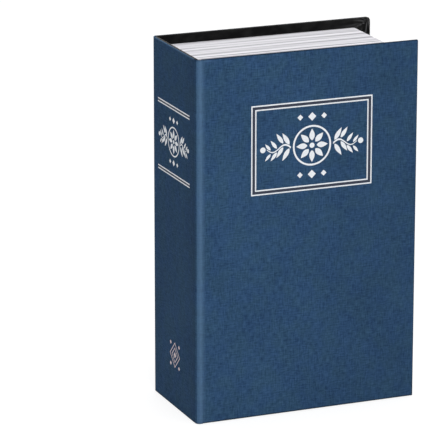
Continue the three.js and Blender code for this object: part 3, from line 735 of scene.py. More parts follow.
def rounded_end(low, high, thickness, radius, levels):
    """Rows round a sheet: up its outer side, over its rounded head, and down its inner side.
    The outer side has rows 0.8 mm and 2 mm from each end, where its painted shade, painted highlight and
    worn look change quickly."""
    turn = np.linspace(0, math.pi / 2, 5)
    up = [(radius - radius * math.sin(a), low + radius - radius * math.cos(a)) for a in turn]
    outside = [(0.0, low + 0.8)]
    outside += [(0.0, z) for z in np.linspace(low + 2, high - 2, levels)]
    outside += [(0.0, high - 0.8)]
    over = [(inset, low + high - z) for inset, z in reversed(up)]
    inside = [(thickness, z) for z in np.linspace(high, low, levels)]
    return up + outside + over + inside


corner_centre = (strip_low[0] + CORNER_RADIUS, strip_low[1] + CORNER_RADIUS)
crease_y = case_low[1] - CREASE_INSET
crease_x = front_low[0] - CREASE_INSET
half_corner = arc(corner_centre, CORNER_RADIUS, 180, 225, 15)
joint_rows = rounded_end(strip_low[2], strip_high[2], JOINT_THICKNESS, 0.22, 24)


def sheet_uv(run, shell, start):
    """The UV map of a sheet: the distance along its path less a start, and its height."""
    return np.stack(np.broadcast_arrays(run[None, :] - start, shell[:, :, 2]), axis=2).reshape(-1, 2)


def joint_cloth(name, pieces, crease, crease_axis):
    """One fold of the joint: a shell that follows its path, with a shallow crease pressed in.
    The corner is lighter from an angle on, more towards the cover: worn cloth with a painted highlight.
    Painted shade darkens it just before that angle, on the spine's side and at its head and tail."""
    path, normal, run = path_with_normals(pieces)
    dents = CREASE_DEPTH * np.exp(-((path[:, crease_axis] - crease) / CREASE_WIDTH) ** 2)
    shell = wrapped_shell(path, normal, joint_rows, dents)
    offset = path - np.array(corner_centre)
    on_corner = np.hypot(*offset.T) < CORNER_RADIUS + 0.01
    round_angle = np.degrees(np.arctan2(offset[:, 1], offset[:, 0])) % 360
    worn_share = np.clip((round_angle - WORN_FROM) / (270 - WORN_FROM), 0, 1)
    # Painted highlight with worn cloth on the corner band.
    wear = np.where(on_corner, np.clip(worn_share * 8, 0, 1) * (0.35 + 0.55 * worn_share), 0.0)
    wear = np.where(offset[:, 0] > 0, 0.9 - 0.4 * offset[:, 0], wear)
    # Painted shade in the fold before the band, along the spine's side, and at the head and tail.
    fold = np.exp(-((round_angle - WORN_FROM + 4) / 6) ** 2) * on_corner
    fold = np.maximum(fold, 0.6 * (offset[:, 1] > 0))
    heights = shell[:, :, 2]
    ends = np.clip(1.2 - np.minimum(heights, strip_high[2] - heights) / 0.3, 0, 1)
    soiled = np.maximum(0.45 * fold[None, :], 0.6 * ends)
    made = make_piece(name, shell.reshape(-1, 3), shell_faces(*shell.shape[:2]), None,
                      "book_cloth", book_cloth, uv=sheet_uv(run, shell, FOLD_RUN),
                      rubbed=np.tile(wear, len(joint_rows)), soiled=soiled.ravel())
    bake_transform(made)
    return made


spine_side = line((strip_low[0], case_low[1]), (strip_low[0], corner_centre[1]), 10)
spine_joint = joint_cloth("spine_joint_cloth", [spine_side, half_corner], crease_y, 1)
other_half = arc(corner_centre, CORNER_RADIUS, 225, 270, 15)
cover_side = line((corner_centre[0], strip_low[1]), (front_low[0] - CLOTH_LAP, strip_low[1]), 10)
joint_cloth("cover_joint_cloth", [other_half, cover_side], crease_x, 0)
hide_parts("corner_cloth")


# The spine's cloth. Real: book cloth glued over the spine board and cut off at its head
# and tail, then carried round the back corner of the spine to the back cover.
CUT_EDGE_RADIUS = 0.16
SPINE_RUN = 110.0

back_centre = (case_low[0] + CORNER_RADIUS, case_high[1] - CORNER_RADIUS)
path, normal, run = path_with_normals([
    arc(back_centre, CORNER_RADIUS, 90, 180, 12),
    line((case_low[0], back_centre[1]), (case_low[0], case_low[1]), 30),
])
rows = rounded_end(case_low[2], case_high[2], CLOTH_THICKNESS, CUT_EDGE_RADIUS, 24)
shell = wrapped_shell(path, normal, rows)
heights = shell[:, :, 2]
# A light line at the head: worn cloth with a painted highlight. Painted shade: a dark strip at the tail,
# and the whole spine darkened, more towards the front corner.
wear = np.clip(1.2 - (case_high[2] - heights) / 0.3, 0, 1)
scuffed_tail = np.clip(1.3 - (heights - case_low[2]) / 0.6, 0, 1) * 0.8
corner_wear = np.clip(1 - np.abs(run - CORNER_RADIUS * math.pi / 4) / 1.4, 0, 1)[None, :]
grimy = 0.14 + 0.14 * np.clip((run - run[-1] + 14) / 14, 0, 1)
make_piece("spine_cloth", shell.reshape(-1, 3), shell_faces(*shell.shape[:2]), "case",
           "book_cloth", book_cloth, ["case_cloth"], uv=sheet_uv(run, shell, SPINE_RUN),
           rubbed=np.maximum(wear, corner_wear * 0.3).ravel(),
           soiled=np.maximum(scuffed_tail, grimy[None, :]).ravel())


# The back cover's cloth. Real: book cloth glued flat over the outside of the board and
# cut off at its edges, which the black lining covers.
BACK_CORNER = 2.0


def flat_sheet(x0, x1, z0, z1, corner, y_face, y_other, radius, face_rows=12, side_steps=14):
    """A flat sheet with rounded corners whose face has a rounded edge: loops from the middle
    of the face out to the edge, round it, and back in over the other side."""
    reach = (x1 - x0) / 2
    sign = 1 if y_other > y_face else -1
    rows = []

    def add(left, inset, depth):
        rounding = max(corner - inset, 0.0)
        rows.append((left, x1 - inset, z0 + inset, z1 - inset, (0, rounding, rounding, 0), depth))

    for share in np.linspace(1, 0, face_rows)[:-1] ** 2:
        add(x0 + reach * share, radius + (reach - radius) * share, y_face)
    for a in np.linspace(0, math.pi / 2, 5):
        add(x0, radius - radius * math.sin(a), y_face + sign * (radius - radius * math.cos(a)))
    add(x0, 0.0, y_other)
    for share in np.linspace(0, 1, 5)[1:]:
        add(x0 + reach * share, reach * share, y_other)
    return slab_loops(rows, side_steps)


loops = flat_sheet(back_centre[0], case_high[0], case_low[2], case_high[2], BACK_CORNER,
                   case_high[1], case_high[1] - CLOTH_THICKNESS, 0.35)
points = loops.reshape(-1, 3)
make_piece("back_cover_cloth", points, grid_faces(*loops.shape[:2], columns_closed=True), "case",
           "book_cloth", book_cloth, uv=points[:, [0, 2]] * (-1, 1),
           rubbed=np.clip(1 - edge_distance(points, case_low, case_high) / 0.5, 0, 1) * 0.4)


# The grey boards inside the covers. Real: pressed grey pulp board, seen only at the
# joint's edge.
def dress(material, *nodes):
    """A material for nodes that keep the model's own mesh."""
    for node in nodes:
        frame["nodes"][node].data.materials.clear()
        frame["nodes"][node].data.materials.append(material)


board, tree, shader = new_material("grey_board", Roughness=0.95)
place = object_place(tree)
pulp = stretched_noise(tree, place, (1400, 5000, 1400), 4.0)
colour_by(tree, shader, pulp, (0.3, 0.7), rgb(118, 112, 102), rgb(156, 150, 140))
add_bump(tree, shader, pulp, 0.1, 0.6)
dress(board, "front_board", "spine_board", "back_board")


# The foil on the spine. Real: a pair of rules above and below a panel, each pair with a thin dark strip
# between them as a painted shadow, and a small device near the tail. The panel holds the cover's rosette,
# smaller, and the device is lozenges.
SPINE_RULE_Y = (-19.7, 21.0)
SPINE_RULES_Z = (151.1, 149.6, 117.7, 116.2)
SPINE_RULE_WIDTH = 0.55
SPINE_DARK_WIDTH = 0.75
SPINE_ORNAMENT_REACH = 17.0
SPINE_ROSETTE_RADIUS = 7.4
DEVICE_Z = 26.5
DEVICE_FRAMES = (13.0, 8.0)
DEVICE_LINE = 1.3
DEVICE_HEART = 3.2
DEVICE_DOT = 2.2
DEVICE_DOT_REACH = 5.4


def on_spine(y, z, level):
    """A point on the spine's cloth, or one foil height in front of it."""
    return (case_low[0] + FOIL_SINK - (FOIL_SINK + FOIL_HEIGHT) * level, y, z)


outlines = [bar(*SPINE_RULE_Y, z, SPINE_RULE_WIDTH) for z in SPINE_RULES_Z]
outlines += ornament(sum(SPINE_RULE_Y) / 2, sum(SPINE_RULES_Z) / 4, SPINE_ORNAMENT_REACH,
                     SPINE_ROSETTE_RADIUS)
points, faces = stamped(outlines, on_spine)
make_piece("spine_foil", points, faces, "case", "book_foil", foil, uv=np.array(points)[:, [1, 2]])

# A thin dark strip between each pair of rules: a painted shadow.
outlines = [bar(*SPINE_RULE_Y, sum(pair) / 2, SPINE_DARK_WIDTH)
            for pair in (SPINE_RULES_Z[:2], SPINE_RULES_Z[2:])]
points, faces = stamped(outlines, on_spine)
make_piece("spine_dark_lines", points, faces, "case", "book_foil", dark_foil,
           uv=np.array(points)[:, [1, 2]])

rose_foil = foil_material("rose_foil", rgb(120, 112, 122), rgb(205, 188, 190), Roughness=0.45,
                          Metallic=0.3)
outlines = []
for width in DEVICE_FRAMES:
    widths = (width, width - DEVICE_LINE)
    outlines.append(tuple(np.array(lozenge(0.0, DEVICE_Z, each, each)) for each in widths))
outlines.append(lozenge(0.0, DEVICE_Z, DEVICE_HEART, DEVICE_HEART))
outlines += [lozenge(y, DEVICE_Z + rise, DEVICE_DOT, DEVICE_DOT)
             for y in (-DEVICE_DOT_REACH, DEVICE_DOT_REACH)
             for rise in (-DEVICE_DOT_REACH, DEVICE_DOT_REACH)]
points, faces = stamped(outlines, on_spine)
make_piece("spine_device", points, faces, "case", "book_foil", rose_foil,
           uv=np.array(points)[:, [1, 2]])


# The black lining of the back cover and of the spine. Real: leather-grained paper, pasted
# over the inner face of the board and wrapped over its edges.
LINING_EDGE_RADIUS = 0.5
LINING_THICKNESS = 0.4
GATHER_HEIGHT = 0.2
GATHER_REACH = 5.0

lining, tree, shader = new_material("black_lining", Specular_IOR_Level=0.06)
place = object_place(tree)
cells = add_node(tree, "ShaderNodeTexVoronoi", {"Vector": place, "Scale": 1100.0},
                 feature="DISTANCE_TO_EDGE").outputs[0]
wrinkles = stretched_noise(tree, place, (160, 160, 260), 4.0)
grain = calculate(tree, "ADD", rescaled(tree, cells, 0.0, 0.12, 0.0, 0.6),
                  calculate(tree, "MULTIPLY", wrinkles, 0.8))
leather = blend_colours(tree, rescaled(tree, wrinkles, 0.44, 0.7), rgb(8, 8, 9), rgb(27, 27, 27))
# Painted highlight: the ridges of the gathers at the corners are lightened towards a pale grey.
gathered = add_node(tree, "ShaderNodeAttribute", attribute_name="gathered").outputs["Fac"]
tree.links.new(blend_colours(tree, gathered, leather, rgb(100, 100, 102)), shader.inputs["Base Color"])
roughness_by(tree, shader, grain, (0.2, 1.2), 0.7, 0.5)
add_bump(tree, shader, grain, 0.09, 0.8)


def gathers(points, centres):
    """Ridges that fan out from each corner, where the lining is bunched up: exp(-d / reach) times the
    positive part of a sum of sines of the angle about the corner, d being the distance."""
    total = np.zeros(len(points))
    for x, z in centres:
        aside, up = points[:, 0] - x, points[:, 2] - z
        distance, angle = np.hypot(aside, up), np.arctan2(up, aside)
        ridges = np.sin(11 * angle + 0.25 * distance) + 0.7 * np.sin(23 * angle + 1.3)
        total += np.exp(-distance / GATHER_REACH) * np.clip(distance / 1.5, 0, 1) * np.maximum(ridges, 0)
    return total


lining_low, lining_high = node_box("back_lining")
loops = flat_sheet(lining_low[0], lining_high[0], lining_low[2], lining_high[2], BACK_CORNER,
                   lining_low[1], lining_high[1], LINING_EDGE_RADIUS, face_rows=60, side_steps=110)
points = loops.reshape(-1, 3)
corner_x = lining_high[0] - BACK_CORNER
folds = gathers(points, [(corner_x, lining_low[2] + BACK_CORNER),
                         (corner_x, lining_high[2] - BACK_CORNER)])
on_face = points[:, 1] < lining_low[1] + 0.01
points[:, 1] += np.where(on_face, GATHER_HEIGHT * (1 - folds.clip(0, 1)) * np.clip(folds * 8, 0, 1), 0)
make_piece("back_cover_lining", points, grid_faces(*loops.shape[:2], columns_closed=True),
           "case", "black_lining", lining, ["back_lining"], gathered=(folds * 0.8).clip(0, 1))

spine_low, spine_high = node_box("spine_lining")
r = LINING_EDGE_RADIUS
t = LINING_THICKNESS
head = arc((spine_high[0] - r, spine_high[2] - r), r, 0, 90, 6)
tail = arc((spine_high[0] - r, spine_low[2] + r), r, 270, 360, 6)
rising = line((spine_high[0], spine_low[2] + r), (spine_high[0], spine_high[2] - r), 60)[1:-1]
ring = np.vstack([
    [(spine_low[0], spine_low[2])], tail, rising, head, [(spine_low[0], spine_high[2])],
    [(spine_low[0], spine_high[2] - t), (spine_high[0] - t, spine_high[2] - t)],
    [(spine_high[0] - t, spine_low[2] + t), (spine_low[0], spine_low[2] + t)],
])
depths = np.linspace(spine_low[1], back_centre[1], 20)
section = np.empty((len(depths), len(ring), 3))
section[:, :, [0, 2]] = ring[None]
section[:, :, 1] = depths[:, None]


def tube_faces(rows, columns):
    """The faces of a tube of closed rows, with a face over its first and its last row."""
    faces = [tuple(face) for face in grid_faces(rows, columns, columns_closed=True)]
    return faces + [tuple(range(columns)), tuple(range((rows - 1) * columns, rows * columns))]


make_piece("spine_lining_wrapped", section.reshape(-1, 3), tube_faces(*section.shape[:2]), "case",
           "black_lining", lining, ["spine_lining"])


# The edges of the pages. Real: white moulded strips round three sides of the steel box,
# with uneven grooves that run like sheets of paper, and rounded corners at the fore-edge.
PAGE_CORNER = 2.6
PAGE_GROOVE = 0.16
PAGE_SAMPLES = 900
GROOVE_SEED = 11
PARTED_WIDTH = 0.7
PARTED_SHEETS = {19.4: 1.3, 23.4: 0.8, 28.4: 0.4, 33.2: 0.6, 38.0: 0.4, 42.4: 0.6, 47.4: 0.4}
BACK_SAMPLES = 8

page_plastic, tree, shader = new_material("page_edges", Roughness=0.62, Specular_IOR_Level=0.35)
shader.inputs["Subsurface Weight"].default_value = 0.08
shader.inputs["Subsurface Radius"].default_value = (0.001, 0.001, 0.001)
place = object_place(tree)
# Painted shade: the colour darkens where the page edges stand back, in the grooves between the sheets.
standing = add_node(tree, "ShaderNodeAttribute", attribute_name="standing").outputs["Fac"]
streaks = stretched_noise(tree, place, (14, 1900, 14), 6.0)
shade = calculate(tree, "MULTIPLY_ADD", streaks, 0.3, calculate(tree, "MULTIPLY", standing, 0.7))
colour_by(tree, shader, shade, (0.15, 0.8), rgb(140, 138, 145), rgb(242, 241, 246))
add_bump(tree, shader, streaks, 0.08, 0.5)

head_low, head_high = node_box("page_strip_head")
tail_low, tail_high = node_box("page_strip_tail")
fore_low, fore_high = node_box("page_strip_fore_edge")


def page_profile(depth, seed):
    """How far each page edge stands back, from 0 to 1: random steps in four sizes, and a
    narrow groove wherever the sheets have parted, each at its depth behind the front cover."""
    random = np.random.default_rng(seed)
    total = np.zeros(len(depth))
    for steps, weight in ((16, 0.25), (60, 0.18), (170, 0.2), (430, 0.24)):
        knots = random.random(steps + 1)
        total += weight * np.interp(depth, np.linspace(depth[0], depth[-1], steps + 1), knots)
    for parted_at, deep in PARTED_SHEETS.items():
        total += deep * np.exp(-((depth - parted_at) / PARTED_WIDTH) ** 2)
    return np.clip(total, 0, 1.3)


def page_path():
    """The outer line of the strips in x and z, with its inner line one wall further in."""
    radius = PAGE_CORNER
    outer = np.vstack([
        line((tail_low[0], fore_low[2]), (fore_high[0] - radius, fore_low[2]), 14),
        arc((fore_high[0] - radius, fore_low[2] + radius), radius, 270, 360, 6)[1:],
        line((fore_high[0], fore_low[2] + radius), (fore_high[0], fore_high[2] - radius), 22)[1:],
        arc((fore_high[0] - radius, fore_high[2] - radius), radius, 0, 90, 6)[1:],
        line((fore_high[0] - radius, fore_high[2]), (head_low[0], fore_high[2]), 14)[1:],
    ])
    inner = np.clip(outer, (-np.inf, tail_high[2]), (fore_low[0], head_low[2]))
    corner = (outer[:, 0] > fore_low[0]) & ((outer[:, 1] < tail_high[2]) | (outer[:, 1] > head_low[2]))
    inner[corner] = np.where(outer[corner, 1:] < 90, (fore_low[0], tail_high[2]),
                             (fore_low[0], head_low[2]))
    return outer, inner


outer, inner = page_path()
along = np.gradient(outer, axis=0)
along /= np.linalg.norm(along, axis=1, keepdims=True)
outward = np.stack([along[:, 1], -along[:, 0]], axis=1)
across = np.linspace(head_low[1], head_high[1], PAGE_SAMPLES)
groove = page_profile(across - front_low[1], GROOVE_SEED)
edge = np.minimum(np.arange(PAGE_SAMPLES), np.arange(PAGE_SAMPLES)[::-1])
rounding = 0.12 * np.clip(1 - edge / 3, 0, 1) ** 2
run = np.r_[0, np.cumsum(np.linalg.norm(np.diff(outer, axis=0), axis=1))]

# The sheets wander a little on their way round the book, and their grooves deepen and fade.
sway = 0.25 * np.sin(run / 31.0)[:, None] + 0.15 * np.sin(run / 9.0 + 1.0)[:, None]
shifted = np.interp((across[None, :] + sway), across, groove)
shifted *= 0.9 + 0.3 * np.sin(run[:, None] / 27.0 + across[None, :] * 0.8)
sunk = PAGE_GROOVE * shifted + rounding[None, :]
grooved = np.empty((len(outer), PAGE_SAMPLES, 3))
grooved[:, :, [0, 2]] = outer[:, None, :] - sunk[:, :, None] * outward[:, None, :]
grooved[:, :, 1] = across[None, :]
back = np.empty((len(outer), BACK_SAMPLES, 3))
back[:, :, [0, 2]] = inner[:, None, :]
back[:, :, 1] = np.linspace(across[-1], across[0], BACK_SAMPLES)[None, :]
section = np.concatenate([grooved, back], axis=1)
# Painted shade in the grooves: the deeper a groove, the darker its colour.
lightness = np.concatenate([1 - np.clip(shifted, 0, 1), np.ones((len(outer), BACK_SAMPLES))], axis=1)
make_piece("page_edges", section.reshape(-1, 3), tube_faces(*section.shape[:2]), "case",
           "page_plastic", page_plastic,
           ["page_strip_head", "page_strip_tail", "page_strip_fore_edge"],
           standing=lightness.ravel(), smooth=60)


# The steel parts of the box. Real: folded and welded sheet, the box and its frame in matt
# black powder coat, and the hinge leaf and lid in grey enamel, hammered on the outside.
def worn_edges(tree, vector):
    """Fine scuffs: high where noise is near its top, as a mask from 0 to 1."""
    return rescaled(tree, stretched_noise(tree, vector, (700, 700, 90), 5.0), 0.66, 0.74)


powder, tree, shader = new_material("powder_coat", Metallic=0.1, Specular_IOR_Level=0.4)
place = object_place(tree)
pimples = even_noise(tree, place, 2600.0, 3.0, 0.6)
dust = stretched_noise(tree, place, (35, 35, 35), 4.0)
base = blend_colours(tree, rescaled(tree, dust, 0.35, 0.75), rgb(20, 21, 23), rgb(38, 39, 41))
tree.links.new(blend_colours(tree, calculate(tree, "MULTIPLY", worn_edges(tree, place), 0.25), base,
                             rgb(90, 90, 92)), shader.inputs["Base Color"])
roughness_by(tree, shader, pimples, (0.3, 0.7), 0.5, 0.68)
add_bump(tree, shader, pimples, 0.08, 0.6)

FLOW_REACH = 0.6

hammered, tree, shader = new_material("hammered_enamel", Metallic=0.3)
texture_place = add_node(tree, "ShaderNodeTexCoord").outputs
place = texture_place["Object"]
bent = add_node(tree, "ShaderNodeTexNoise", {
    "Vector": place, "Scale": 900.0, "Detail": 2.0, "Roughness": 0.5}).outputs[1]
flowed = add_node(tree, "ShaderNodeVectorMath", {0: bent, 1: (FLOW_REACH * MM,) * 3, 2: place},
                  operation="MULTIPLY_ADD").outputs[0]
dimples = add_node(tree, "ShaderNodeTexVoronoi", {
    "Vector": flowed, "Scale": 1150.0, "Randomness": 1.0, "Smoothness": 0.4},
    feature="SMOOTH_F1").outputs[0]
flow = stretched_noise(tree, place, (240, 240, 240), 4.0)
beads = calculate(tree, "MULTIPLY", rescaled(tree, dimples, 0.05, 0.55, 1.0, 0.0),
                  rescaled(tree, flow, 0.35, 0.65, 0.4, 1.0))
# Painted light: faces turned to the back, the inner faces of the lid and the hinge leaf, take a lighter
# copy of the paint.
facing_back = add_node(tree, "ShaderNodeSeparateXYZ", {0: texture_place["Normal"]}).outputs[1]
inner_side = rescaled(tree, facing_back, 0.2, 0.6)
outer_paint = blend_colours(tree, beads, rgb(46, 51, 54), rgb(70, 76, 80))
inner_paint = blend_colours(tree, beads, rgb(120, 130, 138), rgb(134, 143, 151))
tree.links.new(blend_colours(tree, inner_side, outer_paint, inner_paint), shader.inputs["Base Color"])
roughness_by(tree, shader, beads, (0.0, 1.0), 0.44, 0.32)
add_bump(tree, shader, beads, 0.2, 0.8)


def eased_copy(name, node, material, radius, segments=2):
    """A copy of a node of the model with its flat faces joined and its sharp edges rounded."""
    source = frame["nodes"][node]
    mesh = source.data.copy()
    mesh.materials.clear()
    mesh.materials.append(material)
    shaped = bmesh.new()
    shaped.from_mesh(mesh)
    bmesh.ops.remove_doubles(shaped, verts=shaped.verts, dist=2e-6)
    bmesh.ops.dissolve_limit(shaped, angle_limit=math.radians(0.5), verts=shaped.verts,
                             edges=shaped.edges)
    shaped.to_mesh(mesh)
    shaped.free()
    made = bpy.data.objects.new(name, mesh)
    bpy.context.scene.collection.objects.link(made)
    rounder = made.modifiers.new("eased_edges", "BEVEL")
    rounder.width = radius * MM
    rounder.segments = segments
    rounder.limit_method = "ANGLE"
    rounder.angle_limit = math.radians(40)
    rounder.use_clamp_overlap = True
    mesh.shade_smooth()
    mesh.set_sharp_from_angle(angle=math.radians(35))
    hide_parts(node)
    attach(made, source["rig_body"])
    return made


eased_copy("steel_box", "strongbox", powder, radius=0.3)
eased_copy("box_frame", "front_frame", powder, radius=0.12)
eased_copy("hinge_fixed_leaf", "hinge_leaf", hammered, radius=0.08)
eased_copy("box_lid_sheet", "lid", hammered, radius=0.12)


# The bright steel parts. Real: nickel-plated steel, brushed along its length on the strap
# and turned on the rivets, the hinge pin, the axle and the spindle.
nickel, tree, shader = new_material("nickel", Metallic=1.0)
place = object_place(tree)
brushed = stretched_noise(tree, place, (2600, 2600, 120), 3.0)
stains = stretched_noise(tree, place, (140, 140, 140), 3.0)
colour_by(tree, shader, stains, (0.3, 0.7), rgb(176, 172, 164), rgb(214, 212, 206))
roughness_by(tree, shader, brushed, (0.3, 0.7), 0.22, 0.4)
add_bump(tree, shader, brushed, 0.03, 0.5)
dress(nickel, "hinge_pin", "wheel_axle", "lock_spindle")
eased_copy("lock_clamp_strap", "clamp_strap", nickel, radius=0.15)


# The rivets of the frame. Real: steel blind rivets, with a domed head outside and a
# closed, upset end behind the tab.
RIVET_NODES = [f"frame_rivet_{i}" for i in range(1, 7)]
RIVET_SIDES = 28
RIVET_DOME = 0.45
RIVET_HEAD = 0.6
RIVET_SHANK_RADIUS = 1.0
RIVET_END = 0.6


def turned(profile, centre, sides):
    """A profile of radius and y, turned once round the Y axis through a centre in x and z:
    x = cx + r cos a and z = cz + r sin a."""
    angle = np.linspace(0, 2 * math.pi, sides, endpoint=False)
    radius, y = np.array(profile).T
    x = centre[0] + radius[:, None] * np.cos(angle)[None]
    z = centre[1] + radius[:, None] * np.sin(angle)[None]
    return np.stack([x, np.broadcast_to(y[:, None], x.shape), z], axis=2)


for node in RIVET_NODES:
    low, high = node_box(node)
    centre = (low + high)[[0, 2]] / 2
    head = (high[0] - low[0]) / 2
    dome = [(head * math.sin(a), low[1] + RIVET_DOME * (1 - math.cos(a)))
            for a in np.linspace(0, math.pi / 2, 7)]
    shank = [(RIVET_SHANK_RADIUS, low[1] + RIVET_HEAD), (RIVET_SHANK_RADIUS, high[1] - RIVET_END)]
    upset = [(1.5, RIVET_END), (1.8, 0.4), (1.7, 0.1), (1.2, 0.0), (0.0, 0.0)]
    profile = dome + [(head, low[1] + RIVET_HEAD)] + shank
    profile += [(radius, high[1] - depth) for radius, depth in upset]
    ring = turned(profile, centre, RIVET_SIDES)
    make_piece(node + "_turned", ring.reshape(-1, 3), grid_faces(*ring.shape[:2], columns_closed=True),
               "case", "bright_steel", nickel, [node])


# The lock's face plate and body. Real: black moulded plastic, half gloss, with a gilt
# line printed round the plate and a short white mark beside each window.
MARK_X = (2.6, 4.3)
MARK_WIDTH = 0.5
MARK_HEIGHT = 0.02
MARK_SINK = 0.01
WINDOW_RECESS = 0.3

lock_black, tree, shader = new_material("lock_black", Specular_IOR_Level=0.16)
place = object_place(tree)
spark = even_noise(tree, place, 4200.0, 2.0, 0.6)
handling = stretched_noise(tree, place, (260, 260, 260), 4.0)
colour_by(tree, shader, handling, (0.45, 0.8), rgb(12, 11, 13), rgb(20, 19, 21))
roughness_by(tree, shader, handling, (0.3, 0.75), 0.3, 0.46)
add_bump(tree, shader, spark, 0.04, 0.5)

gilt, tree, shader = new_material("gilt", Metallic=0.85)
place = object_place(tree)
worn = stretched_noise(tree, place, (900, 900, 300), 4.0)
colour_by(tree, shader, worn, (0.3, 0.75), rgb(198, 146, 58), rgb(150, 106, 40))
roughness_by(tree, shader, worn, (0.3, 0.7), 0.28, 0.45)

mark_white, tree, shader = new_material("mark_white", Roughness=0.55)
place = object_place(tree)
ink = stretched_noise(tree, place, (1800, 1800, 1800), 2.0)
colour_by(tree, shader, ink, (0.25, 0.6), rgb(196, 198, 200), rgb(242, 243, 244))

eased_copy("lock_plate", "lock_face_plate", lock_black, radius=0.2, segments=3)
eased_copy("lock_gilt_line", "lock_trim", gilt, radius=0.04)
eased_copy("lock_case", "lock_body", lock_black, radius=0.3)
plate_low, plate_high = node_box("lock_face_plate")
plate_centre = (plate_low + plate_high) / 2


def on_plate(x, z, level):
    """A point on the lock's plate, or one ink thickness in front of it."""
    return (x, plate_low[1] + WINDOW_RECESS + MARK_SINK - (MARK_SINK + MARK_HEIGHT) * level, z)


wheel_boxes = [node_box(f"number_wheel_{i}") for i in (1, 2, 3)]
marks = [bar(plate_centre[0] + MARK_X[0], plate_centre[0] + MARK_X[1], (low[2] + high[2]) / 2, MARK_WIDTH)
         for low, high in wheel_boxes]
points, faces = stamped(marks, on_plate)
make_piece("lock_index_marks", points, faces, "box_lid", "mark_white", mark_white)


# The number wheels. Real: black moulded wheels with a notch between each two numbers, and
# the numbers 0 to 9 printed in white round the rim.
DIGIT_HALF_HEIGHT = 1.35
DIGIT_HALF_WIDTH = 1.0
DIGIT_STROKE = 0.48
DIGIT_ROUNDING = 0.55
DIGIT_COUNT = 10
STROKE_SPACING = 0.2
INK_THICKNESS = 0.03
INK_SINK = 0.02

# Each number as the corners of its strokes, in half widths and half heights from its middle.
DIGIT_STROKES = {
    0: [[(0, 1), (1, 1), (1, -1), (-1, -1), (-1, 1), (0, 1)]],
    1: [[(-0.6, 0.55), (0.1, 1), (0.1, -1)]],
    2: [[(-1, 0.5), (-1, 1), (1, 1), (1, 0.25), (-1, -1), (1, -1)]],
    3: [[(-1, 1), (1, 1), (1, 0.05), (-0.2, 0.05)], [(0.4, 0.05), (1, 0.05), (1, -1), (-1, -1)]],
    4: [[(1, -0.4), (-1, -0.4), (0.3, 1)], [(0.45, 0.3), (0.45, -1)]],
    5: [[(0.9, 1), (-0.9, 1), (-0.9, 0.1), (1, 0.1), (1, -1), (-1, -1)]],
    6: [[(0.8, 1), (-1, 1), (-1, -1), (1, -1), (1, 0.05), (-0.9, 0.05)]],
    7: [[(-1, 1), (1, 1), (-0.2, -1)]],
    8: [[(0, 0.05), (0.9, 0.05), (0.9, 1), (-0.9, 1), (-0.9, 0.05), (0, 0.05)],
        [(0, 0.05), (1, 0.05), (1, -1), (-1, -1), (-1, 0.05), (0, 0.05)]],
    9: [[(-0.8, -1), (1, -1), (1, 1), (-1, 1), (-1, -0.05), (0.9, -0.05)]],
}


def rounded_stroke(corners):
    """Points along a bent line whose corners are rounded: at a corner c, the curve
    (1-t)^2 a + 2 t (1-t) c + t^2 b runs between points a and b on its two arms."""
    corners = np.array(corners, float) * (DIGIT_HALF_WIDTH, DIGIT_HALF_HEIGHT)
    points = [corners[:1]]
    t = np.linspace(0, 1, 7)[:, None]
    for before, corner, after in zip(corners, corners[1:], corners[2:]):
        arms = [end - corner for end in (before, after)]
        reach = min([DIGIT_ROUNDING] + [np.hypot(*arm) / 2 for arm in arms])
        a, b = (corner + arm / np.hypot(*arm) * reach for arm in arms)
        points.append((1 - t) ** 2 * a + 2 * t * (1 - t) * corner + t ** 2 * b)
    points.append(corners[-1:])
    bent = np.vstack(points)
    run = np.r_[0, np.cumsum(np.hypot(*np.diff(bent, axis=0).T))]
    keep = np.r_[True, np.diff(run) > 1e-6]
    even = np.linspace(0, run[-1], max(int(run[-1] / STROKE_SPACING), 2) + 1)
    return np.stack([np.interp(even, run[keep], bent[keep, axis]) for axis in (0, 1)], axis=1)


def stroke_ring(stroke, closed):
    """The section of a stroke at each of its points: left and right of it, on the wheel and
    one ink thickness above it, as x, z and level."""
    ahead = np.gradient(stroke, axis=0)
    if closed:
        ahead[0] = stroke[1] - stroke[-1]
        ahead[-1] = stroke[0] - stroke[-2]
    ahead /= np.linalg.norm(ahead, axis=1, keepdims=True)
    aside = np.stack([-ahead[:, 1], ahead[:, 0]], axis=1) * DIGIT_STROKE / 2
    sides = [(stroke + aside, 0), (stroke + aside, 1), (stroke - aside, 1), (stroke - aside, 0)]
    return np.stack([np.c_[flat, np.full(len(flat), level)] for flat, level in sides], axis=1)


def wheel_digits(low, high):
    """The numbers round one wheel, with 0 at the front: each point of a stroke lies at an
    angle of x / radius from the middle of its number."""
    centre = (low + high) / 2
    radius = (high[0] - low[0]) / 2
    points, faces = [], []
    for digit, strokes in DIGIT_STROKES.items():
        middle_angle = math.radians(270 - 360 / DIGIT_COUNT * digit)
        for stroke in strokes:
            closed = stroke[0] == stroke[-1]
            line_points = rounded_stroke(stroke)
            ring = stroke_ring(line_points[:-1] if closed else line_points, closed)
            angle = middle_angle + ring[:, :, 0] / radius
            reach = radius - INK_SINK + (INK_SINK + INK_THICKNESS) * ring[:, :, 2]
            placed = np.stack([centre[0] + reach * np.cos(angle), centre[1] + reach * np.sin(angle),
                               centre[2] + ring[:, :, 1]], axis=2)
            first = sum(len(group) for group in points)
            points.append(placed.reshape(-1, 3))
            if closed:
                sides = grid_faces(len(ring), 4, rows_closed=True, columns_closed=True)
            else:
                sides = tube_faces(len(ring), 4)
            faces += [tuple(first + corner for corner in face) for face in sides]
    return np.vstack(points), faces


for number, (low, high) in enumerate(wheel_boxes, 1):
    eased_copy(f"number_wheel_{number}_body", f"number_wheel_{number}", lock_black,
               radius=0.08)
    points, faces = wheel_digits(low, high)
    make_piece(f"number_wheel_{number}_digits", points, faces, f"dial_{number}", "mark_white",
               mark_white)


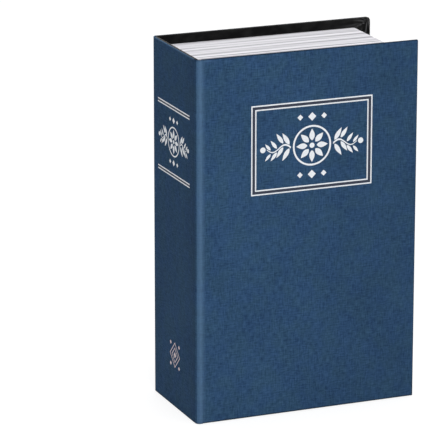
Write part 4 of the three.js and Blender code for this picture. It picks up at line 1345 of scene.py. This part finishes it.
# The knob. Real: a turned black plastic knob with a bevelled rim, a slightly hollow face
# and fine flutes round its grip. It is pressed on to the spindle.
KNOB_SIDES = 96
KNOB_GRIP_ROWS = [7, 8]
FLUTE_SHARE = 0.012

knob_low, knob_high = node_box("lock_knob")
centre = ((knob_low + knob_high) / 2)[[0, 2]]
radius = (knob_high[0] - knob_low[0]) / 2
front, back = knob_low[1], knob_high[1]
profile = [(0, front + 0.25), (radius * 0.45, front + 0.2), (radius - 2.3, front + 0.05),
           (radius - 1.6, front), (radius - 1.3, front + 0.08), (radius - 0.25, front + 0.85),
           (radius - 0.05, front + 1.1), (radius, front + 1.4), (radius, back - 0.35),
           (radius - 0.3, back), (0, back)]
ring = turned(profile, centre, KNOB_SIDES)
rows, columns = ring.shape[:2]
grip = np.zeros(rows)
grip[KNOB_GRIP_ROWS] = 1
flutes = 1 - FLUTE_SHARE * grip[:, None] * (np.arange(columns) % 2 == 0)[None]
for axis, middle in ((0, centre[0]), (2, centre[1])):
    ring[:, :, axis] = middle + (ring[:, :, axis] - middle) * flutes
make_piece("lock_knob_turned", ring.reshape(-1, 3), grid_faces(rows, columns, columns_closed=True),
           "knob_and_cam", "lock_black", lock_black, ["lock_knob"], smooth=30)


# The cam and its fixings. Real: a bright zinc casting, cranked and hooked, held on the
# spindle's square by a black hexagonal washer and a brass screw.
zinc, tree, shader = new_material("cast_zinc", Metallic=1.0)
place = object_place(tree)
cast = even_noise(tree, place, 1500.0, 4.0, 0.65)
colour_by(tree, shader, cast, (0.3, 0.7), rgb(178, 181, 185), rgb(208, 210, 213))
roughness_by(tree, shader, cast, (0.3, 0.7), 0.16, 0.28)
add_bump(tree, shader, cast, 0.03, 0.35)
eased_copy("lock_cam_lever", "lock_cam", zinc, radius=0.22, segments=3)
eased_copy("cam_hex_washer", "cam_washer", lock_black, radius=0.2)

brass, tree, shader = new_material("turned_brass", Metallic=1.0)
place = object_place(tree)
tarnish = stretched_noise(tree, place, (500, 500, 500), 4.0)
colour_by(tree, shader, tarnish, (0.35, 0.75), rgb(212, 178, 104), rgb(160, 122, 62))
roughness_by(tree, shader, tarnish, (0.3, 0.7), 0.24, 0.42)
eased_copy("cam_brass_screw", "cam_screw", brass, radius=0.08)
